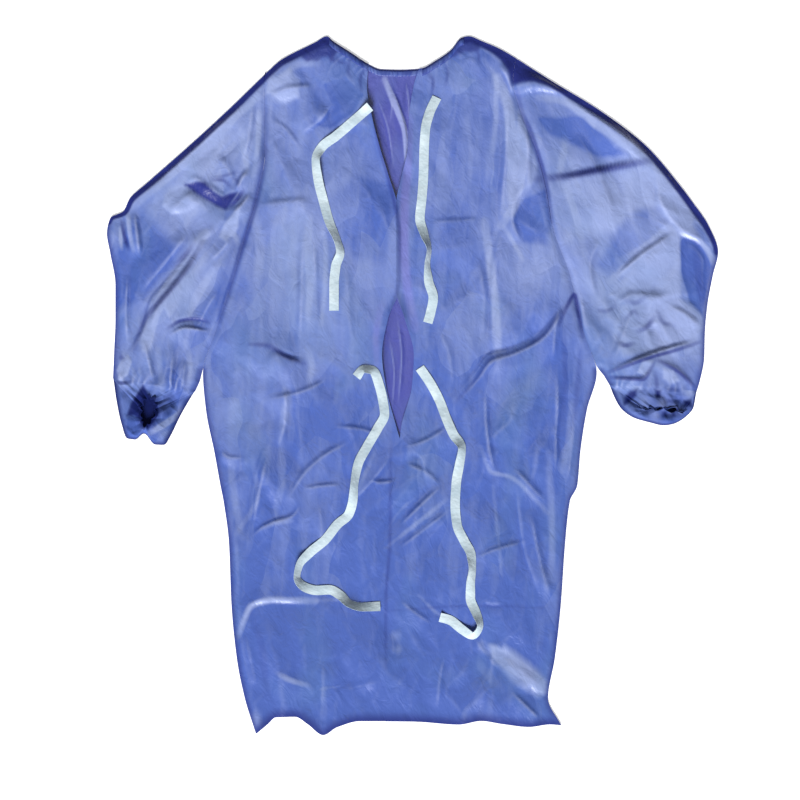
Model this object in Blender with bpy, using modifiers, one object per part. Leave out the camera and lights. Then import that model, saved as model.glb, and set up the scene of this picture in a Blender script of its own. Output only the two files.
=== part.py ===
"""Protective apron: a long-sleeved film gown laid flat on a table, back side up.

The garment opens down the centre back. Its front panel lies on the table, the two back panels
lie on it with the right one lapped over the left, and each sleeve is a flattened tube, bent at
the elbow, that ends in a gathered elastic cuff. Four tapes lie loose on the back panels.

Sizes are in metres. X runs across the garment, Y from the hem to the neck and Z up from the
table. The origin is on the table under the middle of the garment.
"""
import math

import bmesh
import bpy
import numpy as np
from mathutils import Vector
from mathutils.bvhtree import BVHTree

FILM = 0.0012
LAYER_GAP = 0.0003
BACK_BASE = FILM + LAYER_GAP
ARMHOLE_GAP = 0.0012
CUFF_GAP = 0.0005
NECK_EDGE = 0.0015
WELD = 0.00002
FILM_ROUGHNESS = 0.30
TAPE_ROUGHNESS = 0.55

# Body seen from above: distance up the garment, left edge, right edge. The edge is the armhole
# above the underarm, lies against the sleeve below it, and is the side seam from there down.
BODY_SECTIONS = [
    (0.540, -0.236, 0.170),
    (0.500, -0.244, 0.165),
    (0.440, -0.243, 0.181),
    (0.380, -0.243, 0.205),
    (0.320, -0.253, 0.220),
    (0.260, -0.271, 0.230),
    (0.180, -0.293, 0.259),
    (0.090, -0.323, 0.280),
    (0.020, -0.345, 0.303),
    (-0.040, -0.340, 0.287),
    (-0.110, -0.326, 0.276),
    (-0.165, -0.316, 0.271),
    (-0.190, -0.311, 0.259),
    (-0.260, -0.302, 0.251),
    (-0.360, -0.298, 0.244),
    (-0.450, -0.289, 0.234),
    (-0.515, -0.276, 0.223),
    (-0.560, -0.262, 0.245),
    (-0.575, -0.257, 0.251),
]
UNDERARM_LEFT = 0.239
UNDERARM_RIGHT = 0.262
BELOW_HEM = -0.600
BODY_MIDDLE = -0.030
PANEL_PASSES = 12

# Shoulders and neckline: distance across, height up the garment.
TOP_LINE = [
    (-0.238, 0.517),
    (-0.216, 0.536),
    (-0.160, 0.565),
    (-0.141, 0.575),
    (-0.131, 0.567),
    (-0.103, 0.549),
    (-0.072, 0.529),
    (-0.052, 0.521),
    (-0.021, 0.520),
    (0.014, 0.522),
    (0.037, 0.534),
    (0.063, 0.552),
    (0.080, 0.572),
    (0.092, 0.575),
    (0.114, 0.567),
    (0.144, 0.554),
    (0.170, 0.539),
]
NECK_PEAK_LEFT = -0.141
NECK_PEAK_RIGHT = 0.088

# Hem: distance across, height. It waves where the film is pulled into a point.
HEM_LINE = [
    (-0.257, -0.573),
    (-0.238, -0.557),
    (-0.225, -0.546),
    (-0.193, -0.545),
    (-0.172, -0.557),
    (-0.147, -0.575),
    (-0.124, -0.562),
    (-0.086, -0.552),
    (0.000, -0.553),
    (0.075, -0.558),
    (0.114, -0.552),
    (0.149, -0.557),
    (0.193, -0.562),
    (0.226, -0.558),
    (0.251, -0.560),
]

# Centre back: distance up, free edge of the left panel, free edge of the right panel.
OPENING = [
    (0.530, -0.072, 0.014),
    (0.494, -0.075, 0.002),
    (0.440, -0.066, -0.006),
    (0.390, -0.053, -0.008),
    (0.345, -0.039, -0.018),
    (0.297, -0.025, -0.027),
    (0.223, -0.017, -0.027),
    (0.157, -0.022, -0.027),
    (0.110, -0.040, -0.013),
    (0.050, -0.050, 0.002),
    (0.000, -0.044, -0.001),
    (-0.070, -0.026, -0.019),
    (-0.134, -0.008, -0.025),
    (-0.197, -0.001, -0.040),
    (-0.290, 0.001, -0.049),
    (-0.360, 0.002, -0.047),
    (-0.460, 0.002, -0.044),
    (-0.580, 0.002, -0.044),
]

# Sleeves from armhole to cuff: outer edge across and up, inner edge across and up.
LEFT_SLEEVE = [
    (-0.238, 0.517, -0.276, 0.239),
    (-0.304, 0.453, -0.287, 0.200),
    (-0.366, 0.396, -0.299, 0.157),
    (-0.432, 0.338, -0.312, 0.118),
    (-0.466, 0.307, -0.318, 0.100),
    (-0.476, 0.287, -0.322, 0.090),
    (-0.497, 0.276, -0.326, 0.081),
    (-0.503, 0.250, -0.331, 0.068),
    (-0.497, 0.215, -0.336, 0.053),
    (-0.489, 0.165, -0.341, 0.039),
    (-0.489, 0.110, -0.346, 0.024),
    (-0.491, 0.060, -0.350, 0.008),
    (-0.493, 0.012, -0.357, -0.008),
]
RIGHT_SLEEVE = [
    (0.170, 0.539, 0.229, 0.262),
    (0.231, 0.500, 0.240, 0.235),
    (0.308, 0.453, 0.250, 0.208),
    (0.387, 0.392, 0.259, 0.182),
    (0.435, 0.336, 0.266, 0.155),
    (0.461, 0.302, 0.271, 0.135),
    (0.488, 0.262, 0.275, 0.113),
    (0.503, 0.220, 0.280, 0.091),
    (0.494, 0.180, 0.286, 0.072),
    (0.485, 0.130, 0.292, 0.058),
    (0.481, 0.085, 0.299, 0.044),
    (0.480, 0.045, 0.306, 0.030),
    (0.474, 0.012, 0.314, 0.018),
    (0.468, -0.009, 0.323, 0.003),
]

# Height up the garment at which a sleeve's inner edge comes free of the body, and the share of
# the sleeve over which its rings turn from the armhole's line to their own.
CROTCH = 0.015
ARMHOLE_SHARE = 0.222
ARMHOLE_EASE = 1.6
ARMHOLE_START = 0.03

# How far the upper layer stands off the lower one, how far in from an edge it has risen, and
# between which distances from the middle of the body its height goes over to the sleeves'.
BODY_PUFF = 0.0030
SLEEVE_PUFF = 0.0034
SLEEVE_FROM, SLEEVE_TO = 0.20, 0.32
EDGE_REACH = 0.016
EDGE_SAMPLES = 70

# The right back panel rises over the left one, from just past its free edge.
LAP_RISE = 0.0032
LAP_START = 0.004
LAP_BLEND = 0.050

# The front neckline lifts a little round its casing: across at the left, at the right, and up.
CASING_LIFT = 0.0022
LIFT_LEFT = (-0.135, -0.115)
LIFT_RIGHT = (0.078, 0.058)
LIFT_UP = (0.470, 0.500)

# Folds of the upper layer: start across and up, end across and up, height, half width.
FOLDS = [
    (-0.254, 0.297, -0.169, 0.305, 0.005, 0.018),
    (-0.182, 0.256, -0.185, 0.058, 0.005, 0.019),
    (-0.248, 0.067, -0.185, 0.042, 0.007, 0.019),
    (-0.213, 0.009, -0.223, -0.106, 0.007, 0.022),
    (-0.248, -0.090, -0.276, -0.246, 0.008, 0.021),
    (-0.267, -0.246, -0.185, -0.197, 0.006, 0.019),
    (-0.169, -0.359, -0.251, -0.353, 0.005, 0.018),
    (-0.226, -0.471, -0.169, -0.493, 0.004, 0.020),
    (-0.130, 0.470, -0.165, 0.380, 0.005, 0.020),
    (-0.070, -0.157, -0.105, -0.160, 0.004, 0.018),
    (0.000, -0.229, 0.052, -0.164, 0.006, 0.019),
    (0.029, 0.277, 0.103, 0.280, 0.005, 0.018),
    (0.127, 0.256, 0.139, 0.058, 0.007, 0.021),
    (0.152, 0.486, 0.150, 0.272, 0.007, 0.020),
    (0.193, 0.338, 0.164, 0.281, 0.006, 0.018),
    (0.272, 0.154, 0.210, 0.083, 0.009, 0.022),
    (0.210, 0.083, 0.103, 0.017, 0.009, 0.023),
    (0.103, 0.017, 0.070, -0.024, 0.007, 0.020),
    (0.234, 0.034, 0.234, -0.155, 0.007, 0.021),
    (0.119, 0.009, 0.123, -0.090, 0.006, 0.019),
    (0.123, -0.090, 0.152, -0.147, 0.006, 0.019),
    (0.165, -0.155, 0.177, -0.254, 0.007, 0.022),
    (0.177, -0.254, 0.210, -0.353, 0.007, 0.022),
    (0.144, -0.443, 0.218, -0.501, 0.006, 0.025),
    (0.078, -0.419, 0.103, -0.500, 0.005, 0.020),
    (-0.374, 0.333, -0.308, 0.292, 0.008, 0.021),
    (-0.308, 0.292, -0.279, 0.322, 0.008, 0.019),
    (-0.350, 0.248, -0.407, 0.174, 0.010, 0.022),
    (-0.407, 0.174, -0.448, 0.091, 0.010, 0.022),
    (-0.448, 0.091, -0.478, 0.042, 0.008, 0.020),
    (-0.399, 0.096, -0.345, 0.103, 0.006, 0.018),
    (-0.475, 0.286, -0.466, 0.226, 0.008, 0.018),
    (-0.261, 0.473, -0.284, 0.363, 0.005, 0.017),
    (0.176, 0.470, 0.258, 0.474, 0.010, 0.034),
    (0.243, 0.475, 0.374, 0.387, 0.007, 0.022),
    (0.223, 0.341, 0.382, 0.369, 0.007, 0.020),
    (0.399, 0.363, 0.407, 0.305, 0.009, 0.021),
    (0.407, 0.305, 0.473, 0.239, 0.009, 0.022),
    (0.440, 0.259, 0.325, 0.174, 0.010, 0.022),
    (0.340, 0.130, 0.450, 0.110, 0.008, 0.020),
    (0.473, 0.075, 0.322, 0.036, 0.009, 0.021),
]
FOLD_END = 0.30
FOLD_END_HEIGHT = 0.45

# Grids: rows and columns of each piece.
FRONT_COLUMNS = 10
FRONT_PEAK_COLUMNS = (2, 8)
BACK_COLUMNS = 12
PANEL_ROWS = 46
BACK_PEAK_COLUMNS = (8, 7)
SLEEVE_ROWS = 25
SLEEVE_UPPER_COLUMNS, SLEEVE_LOWER_COLUMNS = 13, 9
CUFF_COLUMNS, CUFF_ROWS = 42, 7

# Cuff rings from the sleeve to the ruffled edge: share of the cuff's length, reach down the arm,
# half width, half height, centre height, lean of the ring from the table, ruffle depth.
CUFF_RINGS = {
    "left": [
        (0.00, 0.000, 0.066, 0.006, 0.0065, 90.0, 0.000),
        (0.30, 0.022, 0.060, 0.012, 0.0115, 62.0, 0.001),
        (0.60, 0.042, 0.044, 0.024, 0.0150, 32.0, 0.003),
        (0.80, 0.050, 0.031, 0.032, 0.0165, 24.0, 0.004),
        (1.00, 0.048, 0.047, 0.047, 0.0200, 19.0, 0.007),
    ],
    "right": [
        (0.00, 0.000, 0.072, 0.006, 0.0065, 90.0, 0.000),
        (0.30, 0.016, 0.068, 0.011, 0.0110, 64.0, 0.001),
        (0.60, 0.028, 0.056, 0.018, 0.0150, 38.0, 0.003),
        (0.80, 0.033, 0.046, 0.019, 0.0165, 32.0, 0.004),
        (1.00, 0.032, 0.060, 0.029, 0.0200, 27.0, 0.006),
    ],
}
RUFFLES = {"left": 10, "right": 12}
RUFFLE_FLATNESS = 0.8
CUFF_BLEND = 0.35

# Tapes: distance across, height up the garment, roll about the tape's length in degrees.
TAPE_WIDTH = 0.016
TAPE_WALL = 0.0010
TAPE_CLEAR = 0.0004
STRIP_SAMPLES = 5
STRIP_REACH = 0.003
ABOVE_ALL = 0.2
TAPES = {
    "neck_tape_left": [
        (-0.070, 0.458, 0), (-0.100, 0.432, 0), (-0.127, 0.409, 8), (-0.149, 0.392, 0),
        (-0.159, 0.371, -30), (-0.155, 0.338, -10), (-0.147, 0.305, 0), (-0.137, 0.269, 20),
        (-0.123, 0.236, 45), (-0.119, 0.218, 30), (-0.126, 0.197, 10), (-0.129, 0.165, 0),
        (-0.129, 0.123, 0),
    ],
    "neck_tape_right": [
        (0.040, 0.474, 0), (0.028, 0.448, 0), (0.021, 0.420, 12), (0.019, 0.387, 0),
        (0.018, 0.346, 0), (0.015, 0.305, 10), (0.012, 0.275, 0), (0.019, 0.248, 30),
        (0.027, 0.222, 62), (0.024, 0.198, 55), (0.026, 0.172, 20), (0.034, 0.144, 0),
        (0.030, 0.121, 0), (0.025, 0.103, 0),
    ],
    "waist_tape_left": [
        (-0.092, 0.014, 10), (-0.080, 0.027, 35), (-0.066, 0.025, 25), (-0.055, 0.001, 0),
        (-0.049, -0.024, 0), (-0.046, -0.047, 8), (-0.057, -0.070, 0), (-0.075, -0.101, 0),
        (-0.090, -0.131, 15), (-0.096, -0.164, 35), (-0.098, -0.188, 15), (-0.105, -0.212, 0),
        (-0.123, -0.228, 0), (-0.144, -0.254, 0), (-0.169, -0.275, 10), (-0.186, -0.295, 40),
        (-0.190, -0.315, 50), (-0.178, -0.331, 20), (-0.157, -0.337, 0), (-0.137, -0.336, 0),
        (-0.119, -0.345, 15), (-0.103, -0.359, 40), (-0.083, -0.364, 30), (-0.053, -0.363, 10),
    ],
    "waist_tape_right": [
        (0.012, 0.029, 0), (0.029, 0.004, 0), (0.044, -0.024, 0), (0.055, -0.053, 10),
        (0.067, -0.080, 0), (0.081, -0.103, 35), (0.077, -0.130, 15), (0.072, -0.159, 0),
        (0.070, -0.197, 0), (0.073, -0.229, 12), (0.085, -0.256, 0), (0.096, -0.278, 15),
        (0.098, -0.300, 40), (0.095, -0.328, 20), (0.095, -0.349, 0), (0.104, -0.373, 20),
        (0.111, -0.394, 50), (0.099, -0.411, 35), (0.080, -0.400, 10), (0.062, -0.386, 0),
        (0.045, -0.381, 10),
    ],
}
TAPE_ROWS = {"neck": 28, "waist": 40}

# Elastic casings: start and end across, depth inward from the neckline, gather pitch and height.
CASINGS = {
    "neck_casing_left": (-0.136, -0.074, 0.012),
    "neck_casing_right": (0.016, 0.083, 0.012),
}
FRONT_CASING = (-0.098, 0.046, 0.010)
CASING_WALL = 0.0010
GATHER_PITCH = 0.011
GATHER_HEIGHT = 0.0016
CASING_ROWS_PER_GATHER = 4

BLUE_FILM = (0.135, 0.175, 0.560)
VIOLET_FILM = (0.125, 0.130, 0.470)
WHITE_TAPE = (0.700, 0.840, 0.920)


class Profile:
    """A smooth curve through one column of a table, which never overshoots a row."""

    def __init__(self, rows, column):
        rows = sorted(rows)
        self.keys = np.array([row[0] for row in rows])
        self.values = np.array([row[column] for row in rows])
        steps = np.diff(self.values) / np.diff(self.keys)
        self.slopes = np.zeros(len(rows))
        self.slopes[0], self.slopes[-1] = steps[0], steps[-1]
        for i in range(1, len(rows) - 1):
            before, after = steps[i - 1], steps[i]
            if before * after > 0:
                self.slopes[i] = 2 * before * after / (before + after)

    def __call__(self, key):
        key = np.clip(key, self.keys[0], self.keys[-1])
        i = np.clip(np.searchsorted(self.keys, key) - 1, 0, len(self.keys) - 2)
        span = self.keys[i + 1] - self.keys[i]
        t = (key - self.keys[i]) / span
        start = self.values[i] * (1 + 2 * t) * (1 - t) ** 2
        end = self.values[i + 1] * t ** 2 * (3 - 2 * t)
        bend = span * t * (1 - t) * (self.slopes[i] * (1 - t) - self.slopes[i + 1] * t)
        return start + end + bend


def numbered(rows):
    """Puts each row's share of the table's length in front of it, as the key of a profile."""
    last = len(rows) - 1
    return [(i / last, *row) for i, row in enumerate(rows)]


left_edge = Profile(BODY_SECTIONS, 1)
right_edge = Profile(BODY_SECTIONS, 2)
left_free_edge = Profile(OPENING, 1)
right_free_edge = Profile(OPENING, 2)
top_line = Profile(TOP_LINE, 1)
hem_line = Profile(HEM_LINE, 1)


def smoothstep(low, high, value):
    t = np.clip((value - low) / (high - low), 0.0, 1.0)
    return t * t * (3 - 2 * t)


class Sleeve:
    """The outline of one sleeve and the flattened ring at any share of its length."""

    def __init__(self, rows, body_edge, underarm, outward):
        keyed = numbered(rows)
        self.outer = [Profile(keyed, 1), Profile(keyed, 2)]
        self.inner = [Profile(keyed, 3), Profile(keyed, 4)]
        self.body_edge = body_edge
        self.outward = outward
        self.underarm = underarm

    def outer_edge(self, along):
        return np.array([self.outer[0](along), self.outer[1](along)])

    def inner_edge(self, along):
        """The inner edge, kept just clear of the body where it lies beside it."""
        x, y = self.inner[0](along), self.inner[1](along)
        clear = self.body_edge(y) + self.outward * ARMHOLE_GAP
        beside = np.where(y > CROTCH, clear, x)
        x = np.maximum(x, beside) if self.outward > 0 else np.minimum(x, beside)
        return np.array([x, y])

    def outline(self, along, share):
        """A point in plan, at a share of the width from the outer edge to the inner one."""
        outer, inner = self.outer_edge(along), self.inner_edge(along)
        x, y = outer + (inner - outer) * share
        armhole = self.body_edge(y) + self.outward * ARMHOLE_GAP
        follow = np.clip(1 - along / ARMHOLE_SHARE, 0, 1) ** 2
        at_outer_edge = 1 - smoothstep(0, np.maximum(ARMHOLE_EASE * along, 0.02), share)
        follow = follow * (1 - at_outer_edge * smoothstep(0, ARMHOLE_START, along))
        return x + (armhole - x) * follow, y

    def ring(self, along, turn):
        """A point of the outer skin: turn 0 to 0.5 is the upper layer, outer edge to inner."""
        upper = turn <= 0.5
        share = (1 - np.cos(2 * math.pi * turn)) / 2
        x, y = self.outline(along, share)
        at_edge = np.minimum(share, 1 - share) < 1e-6
        top = BACK_BASE + FILM + height(x, y)
        z = np.where(at_edge, (BACK_BASE + FILM) / 2, np.where(upper, top, 0.0))
        return np.stack([x, y, z], axis=-1)


def edge_lines(sleeves):
    """Every folded or sewn edge where the upper layer comes down to the lower one, as points."""
    along = np.linspace(0, 1, EDGE_SAMPLES)
    lines = []
    for sleeve in sleeves:
        lines.append(sleeve.outer_edge(along).T)
        lines.append(sleeve.inner_edge(along).T)
        down = np.linspace(sleeve.underarm, BELOW_HEM, EDGE_SAMPLES)
        lines.append(np.stack([sleeve.body_edge(down), down], axis=-1))
    shoulder_left, shoulder_right = LEFT_SLEEVE[0][0], RIGHT_SLEEVE[0][0]
    for start, end in ((shoulder_left, NECK_PEAK_LEFT), (NECK_PEAK_RIGHT, shoulder_right)):
        across = np.linspace(start, end, EDGE_SAMPLES)
        lines.append(np.stack([across, top_line(across)], axis=-1))
    return lines


def segment_distance(x, y, start, end):
    """Distance from each point to a segment, and how far along the segment it falls."""
    run = end - start
    offset_x, offset_y = x - start[0], y - start[1]
    share = (offset_x * run[0] + offset_y * run[1]) / max(run @ run, 1e-12)
    nearest = np.clip(share, 0, 1)
    return np.hypot(offset_x - nearest * run[0], offset_y - nearest * run[1]), nearest


def edge_distance(x, y):
    nearest = np.full(np.shape(x), 1.0)
    for line in EDGE_LINES:
        for start, end in zip(line[:-1], line[1:]):
            nearest = np.minimum(nearest, segment_distance(x, y, start, end)[0])
    return nearest


def fold_height(x, y):
    """The tallest fold at each point. A fold is a rounded ridge that fades out at its ends."""
    total = np.zeros(np.shape(x))
    for x0, y0, x1, y1, rise, half_width in FOLDS:
        away, along = segment_distance(x, y, np.array([x0, y0]), np.array([x1, y1]))
        across = 0.5 + 0.5 * np.cos(math.pi * np.clip(away / half_width, 0, 1))
        inward = smoothstep(0, FOLD_END, along) * smoothstep(0, FOLD_END, 1 - along)
        fade = FOLD_END_HEIGHT + (1 - FOLD_END_HEIGHT) * inward
        total = np.maximum(total, rise * across * fade)
    return total


def height(x, y):
    """How far the upper layer's underside stands above its lowest place, over body and sleeves."""
    x, y = np.asarray(x, dtype=float), np.asarray(y, dtype=float)
    distance = edge_distance(x, y)
    rounding = np.sqrt(1 - (1 - np.clip(distance / EDGE_REACH, 0, 1)) ** 2)
    sleeve_share = smoothstep(SLEEVE_FROM, SLEEVE_TO, np.abs(x - BODY_MIDDLE))
    puff = BODY_PUFF + (SLEEVE_PUFF - BODY_PUFF) * sleeve_share
    in_neck = smoothstep(*LIFT_LEFT, x) * smoothstep(*LIFT_RIGHT, x)
    lift = CASING_LIFT * in_neck * smoothstep(*LIFT_UP, y)
    return (puff + fold_height(x, y)) * rounding + lift


LEFT = Sleeve(LEFT_SLEEVE, left_edge, UNDERARM_LEFT, -1)
RIGHT = Sleeve(RIGHT_SLEEVE, right_edge, UNDERARM_RIGHT, 1)
EDGE_LINES = edge_lines((LEFT, RIGHT))


def clear_scene():
    for thing in list(bpy.data.objects):
        bpy.data.objects.remove(thing, do_unlink=True)


def finish_material(name, colour, roughness):
    """A matt or glossy surface with one colour."""
    material = bpy.data.materials.new(name)
    material.use_nodes = True
    shader = material.node_tree.nodes["Principled BSDF"]
    shader.inputs["Base Color"].default_value = (*colour, 1.0)
    shader.inputs["Roughness"].default_value = roughness
    shader.inputs["Metallic"].default_value = 0.0
    material.diffuse_color = (*colour, 1.0)
    return material


def add_object(name, mesh, colour, roughness):
    garment = bpy.data.collections.get("protective_apron")
    if garment is None:
        garment = bpy.data.collections.new("protective_apron")
        bpy.context.scene.collection.children.link(garment)
    mesh.shade_smooth()
    mesh.materials.append(finish_material(name + "_finish", colour, roughness))
    piece = bpy.data.objects.new(name, mesh)
    garment.objects.link(piece)
    return piece


def film_sheet(name, columns, rows, place, colour, wall=FILM, roughness=FILM_ROUGHNESS):
    """A flat grid, moved by place(across, along) with both from 0 to 1, and given a wall above."""
    grid = bmesh.new()
    bmesh.ops.create_grid(grid, x_segments=columns, y_segments=rows, size=0.5)
    shares = np.array([vertex.co[:2] for vertex in grid.verts]) + 0.5
    for vertex, point in zip(grid.verts, place(shares[:, 0], shares[:, 1])):
        vertex.co = point
    mesh = bpy.data.meshes.new(name)
    grid.to_mesh(mesh)
    grid.free()
    piece = add_object(name, mesh, colour, roughness)
    add_wall(piece, wall, 1.0)
    return piece


def film_tube(name, turns, rows, place):
    """A grid rolled into a tube by place(along, turn) and welded, with its wall inside."""
    grid = bmesh.new()
    columns = len(turns) - 1
    bmesh.ops.create_grid(grid, x_segments=columns, y_segments=rows, size=0.5)
    shares = np.array([vertex.co[:2] for vertex in grid.verts]) + 0.5
    turn = np.array(turns)[np.rint(shares[:, 0] * columns).astype(int)]
    for vertex, point in zip(grid.verts, place(shares[:, 1], turn)):
        vertex.co = point
    bmesh.ops.remove_doubles(grid, verts=grid.verts, dist=WELD)
    bmesh.ops.recalc_face_normals(grid, faces=grid.faces)
    mesh = bpy.data.meshes.new(name)
    grid.to_mesh(mesh)
    grid.free()
    piece = add_object(name, mesh, BLUE_FILM, FILM_ROUGHNESS)
    add_wall(piece, FILM, -1.0)
    return piece


def add_wall(piece, wall, side):
    solidify = piece.modifiers.new("wall", "SOLIDIFY")
    solidify.thickness = wall
    solidify.offset = side
    solidify.use_rim = True
    solidify.use_quality_normals = True


def panel_point(first_edge, second_edge, across, along):
    """A point in plan, at shares of the width between two edges and of the way up from the hem."""
    x = first_edge(0.0) + (second_edge(0.0) - first_edge(0.0)) * across
    y = np.zeros_like(x)
    for _ in range(PANEL_PASSES):
        bottom, top = hem_line(x), top_line(x)
        y = bottom + (top - bottom) * along
        first, second = first_edge(y), second_edge(y)
        x = first + (second - first) * across
    return x, y


def neck_share(edge, free_edge, peak):
    """The share of the way from an edge to a free edge at which the neck peak stands."""
    y = top_line(peak)
    return (peak - edge(y)) / (free_edge(y) - edge(y))


def crowded(share, peak_share, peak_column):
    """Spreads even shares so that they lie closer near 0 and one column meets the neck peak."""
    power = math.log(peak_share) / math.log(peak_column / BACK_COLUMNS)
    return share ** power


def front_panel():
    """The whole front, flat on the table, up to the shoulder seams and the front neckline."""
    peaks = [neck_share(left_edge, right_edge, x) for x in (NECK_PEAK_LEFT, NECK_PEAK_RIGHT)]
    columns = [0, *FRONT_PEAK_COLUMNS, FRONT_COLUMNS]

    def place(across, along):
        across = np.interp(across * FRONT_COLUMNS, columns, [0, *peaks, 1])
        x, y = panel_point(left_edge, right_edge, across, along)
        return np.stack([x, y, np.zeros_like(x)], axis=-1)

    return film_sheet("front_panel", FRONT_COLUMNS, PANEL_ROWS, place, VIOLET_FILM)


def back_left_panel():
    """From the left side seam to its free edge, under the right panel at the centre back."""
    peak = neck_share(left_edge, left_free_edge, NECK_PEAK_LEFT)

    def place(across, along):
        across = crowded(across, peak, BACK_PEAK_COLUMNS[0])
        x, y = panel_point(left_edge, left_free_edge, across, along)
        return np.stack([x, y, BACK_BASE + height(x, y)], axis=-1)

    return film_sheet("back_left_panel", BACK_COLUMNS, PANEL_ROWS, place, BLUE_FILM)


def back_right_panel():
    """From its free edge, which lies over the left panel, to the right side seam."""
    peak = neck_share(right_edge, right_free_edge, NECK_PEAK_RIGHT)

    def place(across, along):
        across = 1 - crowded(1 - across, peak, BACK_PEAK_COLUMNS[1])
        x, y = panel_point(right_free_edge, right_edge, across, along)
        overlap = left_free_edge(y)
        lap = LAP_RISE * smoothstep(overlap + LAP_BLEND, overlap + LAP_START, x)
        return np.stack([x, y, BACK_BASE + height(x, y) + lap], axis=-1)

    return film_sheet("back_right_panel", BACK_COLUMNS, PANEL_ROWS, place, BLUE_FILM)


def sleeve_tube(name, sleeve):
    """A flattened tube, open at the armhole and at the cuff."""
    upper = np.linspace(0, 0.5, SLEEVE_UPPER_COLUMNS + 1)
    lower = np.linspace(0.5, 1, SLEEVE_LOWER_COLUMNS + 1)[1:]
    turns = np.concatenate([upper, lower])
    return film_tube(name, turns, SLEEVE_ROWS, sleeve.ring)


def gathered_cuff(name, side, sleeve):
    """The elastic cuff, turned so that its mouth looks up, with a ruffle past the elastic."""
    rings = CUFF_RINGS[side]
    reach, half_width, half_height, centre, lean, ruffle = (
        Profile(rings, column) for column in range(1, 7))
    outer, inner = sleeve.outer_edge(1.0), sleeve.inner_edge(1.0)
    middle = (outer + inner) / 2
    across_arm = (inner - outer) / np.linalg.norm(inner - outer)
    down_arm = np.array([across_arm[1], -across_arm[0]])
    if down_arm[1] > 0:
        down_arm = -down_arm
    waves = RUFFLES[side]

    def place(along, turn):
        angle = math.pi - 2 * math.pi * turn
        wave = ruffle(along) * np.cos(waves * angle)
        across = (half_width(along) + wave) * np.cos(angle)
        up = (half_height(along) + wave * RUFFLE_FLATNESS) * np.sin(angle)
        tilt = np.radians(lean(along))
        down = reach(along) - up * np.cos(tilt)
        z = centre(along) + up * np.sin(tilt)
        flat = middle + across[:, None] * across_arm + down[:, None] * down_arm
        ring = np.column_stack([flat, np.maximum(z, 0.0)])
        sleeve_end = sleeve.ring(np.ones_like(turn), turn)
        shift = CUFF_GAP + reach(along)
        sleeve_end[:, :2] += shift[:, None] * down_arm
        share = smoothstep(0.0, CUFF_BLEND, along)[:, None]
        return sleeve_end * (1 - share) + ring * share

    turns = np.linspace(0, 1, CUFF_COLUMNS + 1)
    return film_tube(name, turns, CUFF_ROWS, place)


def top_finder(pieces):
    """Returns a function that gives the highest surface under points in plan."""
    bpy.context.view_layer.update()
    graph = bpy.context.evaluated_depsgraph_get()
    trees = [BVHTree.FromObject(piece, graph) for piece in pieces]

    def top(x, y):
        best = 0.0
        for tree in trees:
            hit = tree.ray_cast(Vector((x, y, ABOVE_ALL)), Vector((0, 0, -1)))
            if hit[0] is not None:
                best = max(best, hit[0].z)
        return best

    def top_around(x, y, reach):
        spots = [(0, 0), (reach, 0), (-reach, 0), (0, reach), (0, -reach)]
        return max(top(x + dx, y + dy) for dx, dy in spots)

    return top_around


def smooth_route(points, count):
    """Even stations on a smooth curve through a tape's points, with its direction at each."""
    points = np.array(points, dtype=float)
    steps = np.hypot(*np.diff(points[:, :2], axis=0).T)
    keys = np.concatenate([[0], np.cumsum(steps)])
    rows = [(key, *point) for key, point in zip(keys, points)]
    profiles = [Profile(rows, column) for column in (1, 2, 3)]
    at = np.linspace(0, keys[-1], count)
    x, y, roll = (profile(at) for profile in profiles)
    direction = np.stack([np.gradient(x), np.gradient(y)], axis=-1)
    direction /= np.linalg.norm(direction, axis=1)[:, None]
    return x, y, roll, direction


def never_below(heights):
    """Eases a row of heights without going below any of them."""
    padded = np.concatenate([heights[:1], heights, heights[-1:]])
    widest = np.maximum(np.maximum(padded[:-2], padded[1:-1]), padded[2:])
    padded = np.concatenate([widest[:1], widest, widest[-1:]])
    return (padded[:-2] + padded[1:-1] + padded[2:]) / 3


def resting_edges(first, second, top, clear):
    """Heights of a strip's two long edges, so that the strip clears all that it lies on."""
    shares = np.linspace(0, 1, STRIP_SAMPLES)
    ground = []
    for share in shares:
        plan = first * (1 - share) + second * share
        ground.append([top(x, y, STRIP_REACH) for x, y in plan])
    ground = np.array(ground)
    low, high = ground[0], ground[-1]
    between = low * (1 - shares[:, None]) + high * shares[:, None]
    lift = np.max(ground - between, axis=0) + clear
    return never_below(low + lift), never_below(high + lift)


def tape(name, points, rows, top):
    """A flat tape laid on the panels. Where it rolls over, one long edge stands up."""
    x, y, roll, direction = smooth_route(points, rows + 1)
    tilt = np.radians(roll)
    normal = np.stack([-direction[:, 1], direction[:, 0]], axis=-1)
    reach = (TAPE_WIDTH / 2 * np.cos(tilt))[:, None] * normal
    middle = np.stack([x, y], axis=-1)
    first, second = middle + reach, middle - reach
    low, high = resting_edges(first, second, top, TAPE_CLEAR)
    stand = TAPE_WIDTH * np.abs(np.sin(tilt))
    first_z = np.where(tilt < 0, np.maximum(low, high + stand), low)
    second_z = np.where(tilt > 0, np.maximum(high, low + stand), high)

    def place(across, along):
        station = np.rint(along * rows).astype(int)
        share = across[:, None]
        plan = first[station] * (1 - share) + second[station] * share
        z = first_z[station] * (1 - across) + second_z[station] * across
        return np.column_stack([plan, z])

    return film_sheet(name, 1, rows, place, WHITE_TAPE, TAPE_WALL, TAPE_ROUGHNESS)


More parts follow.
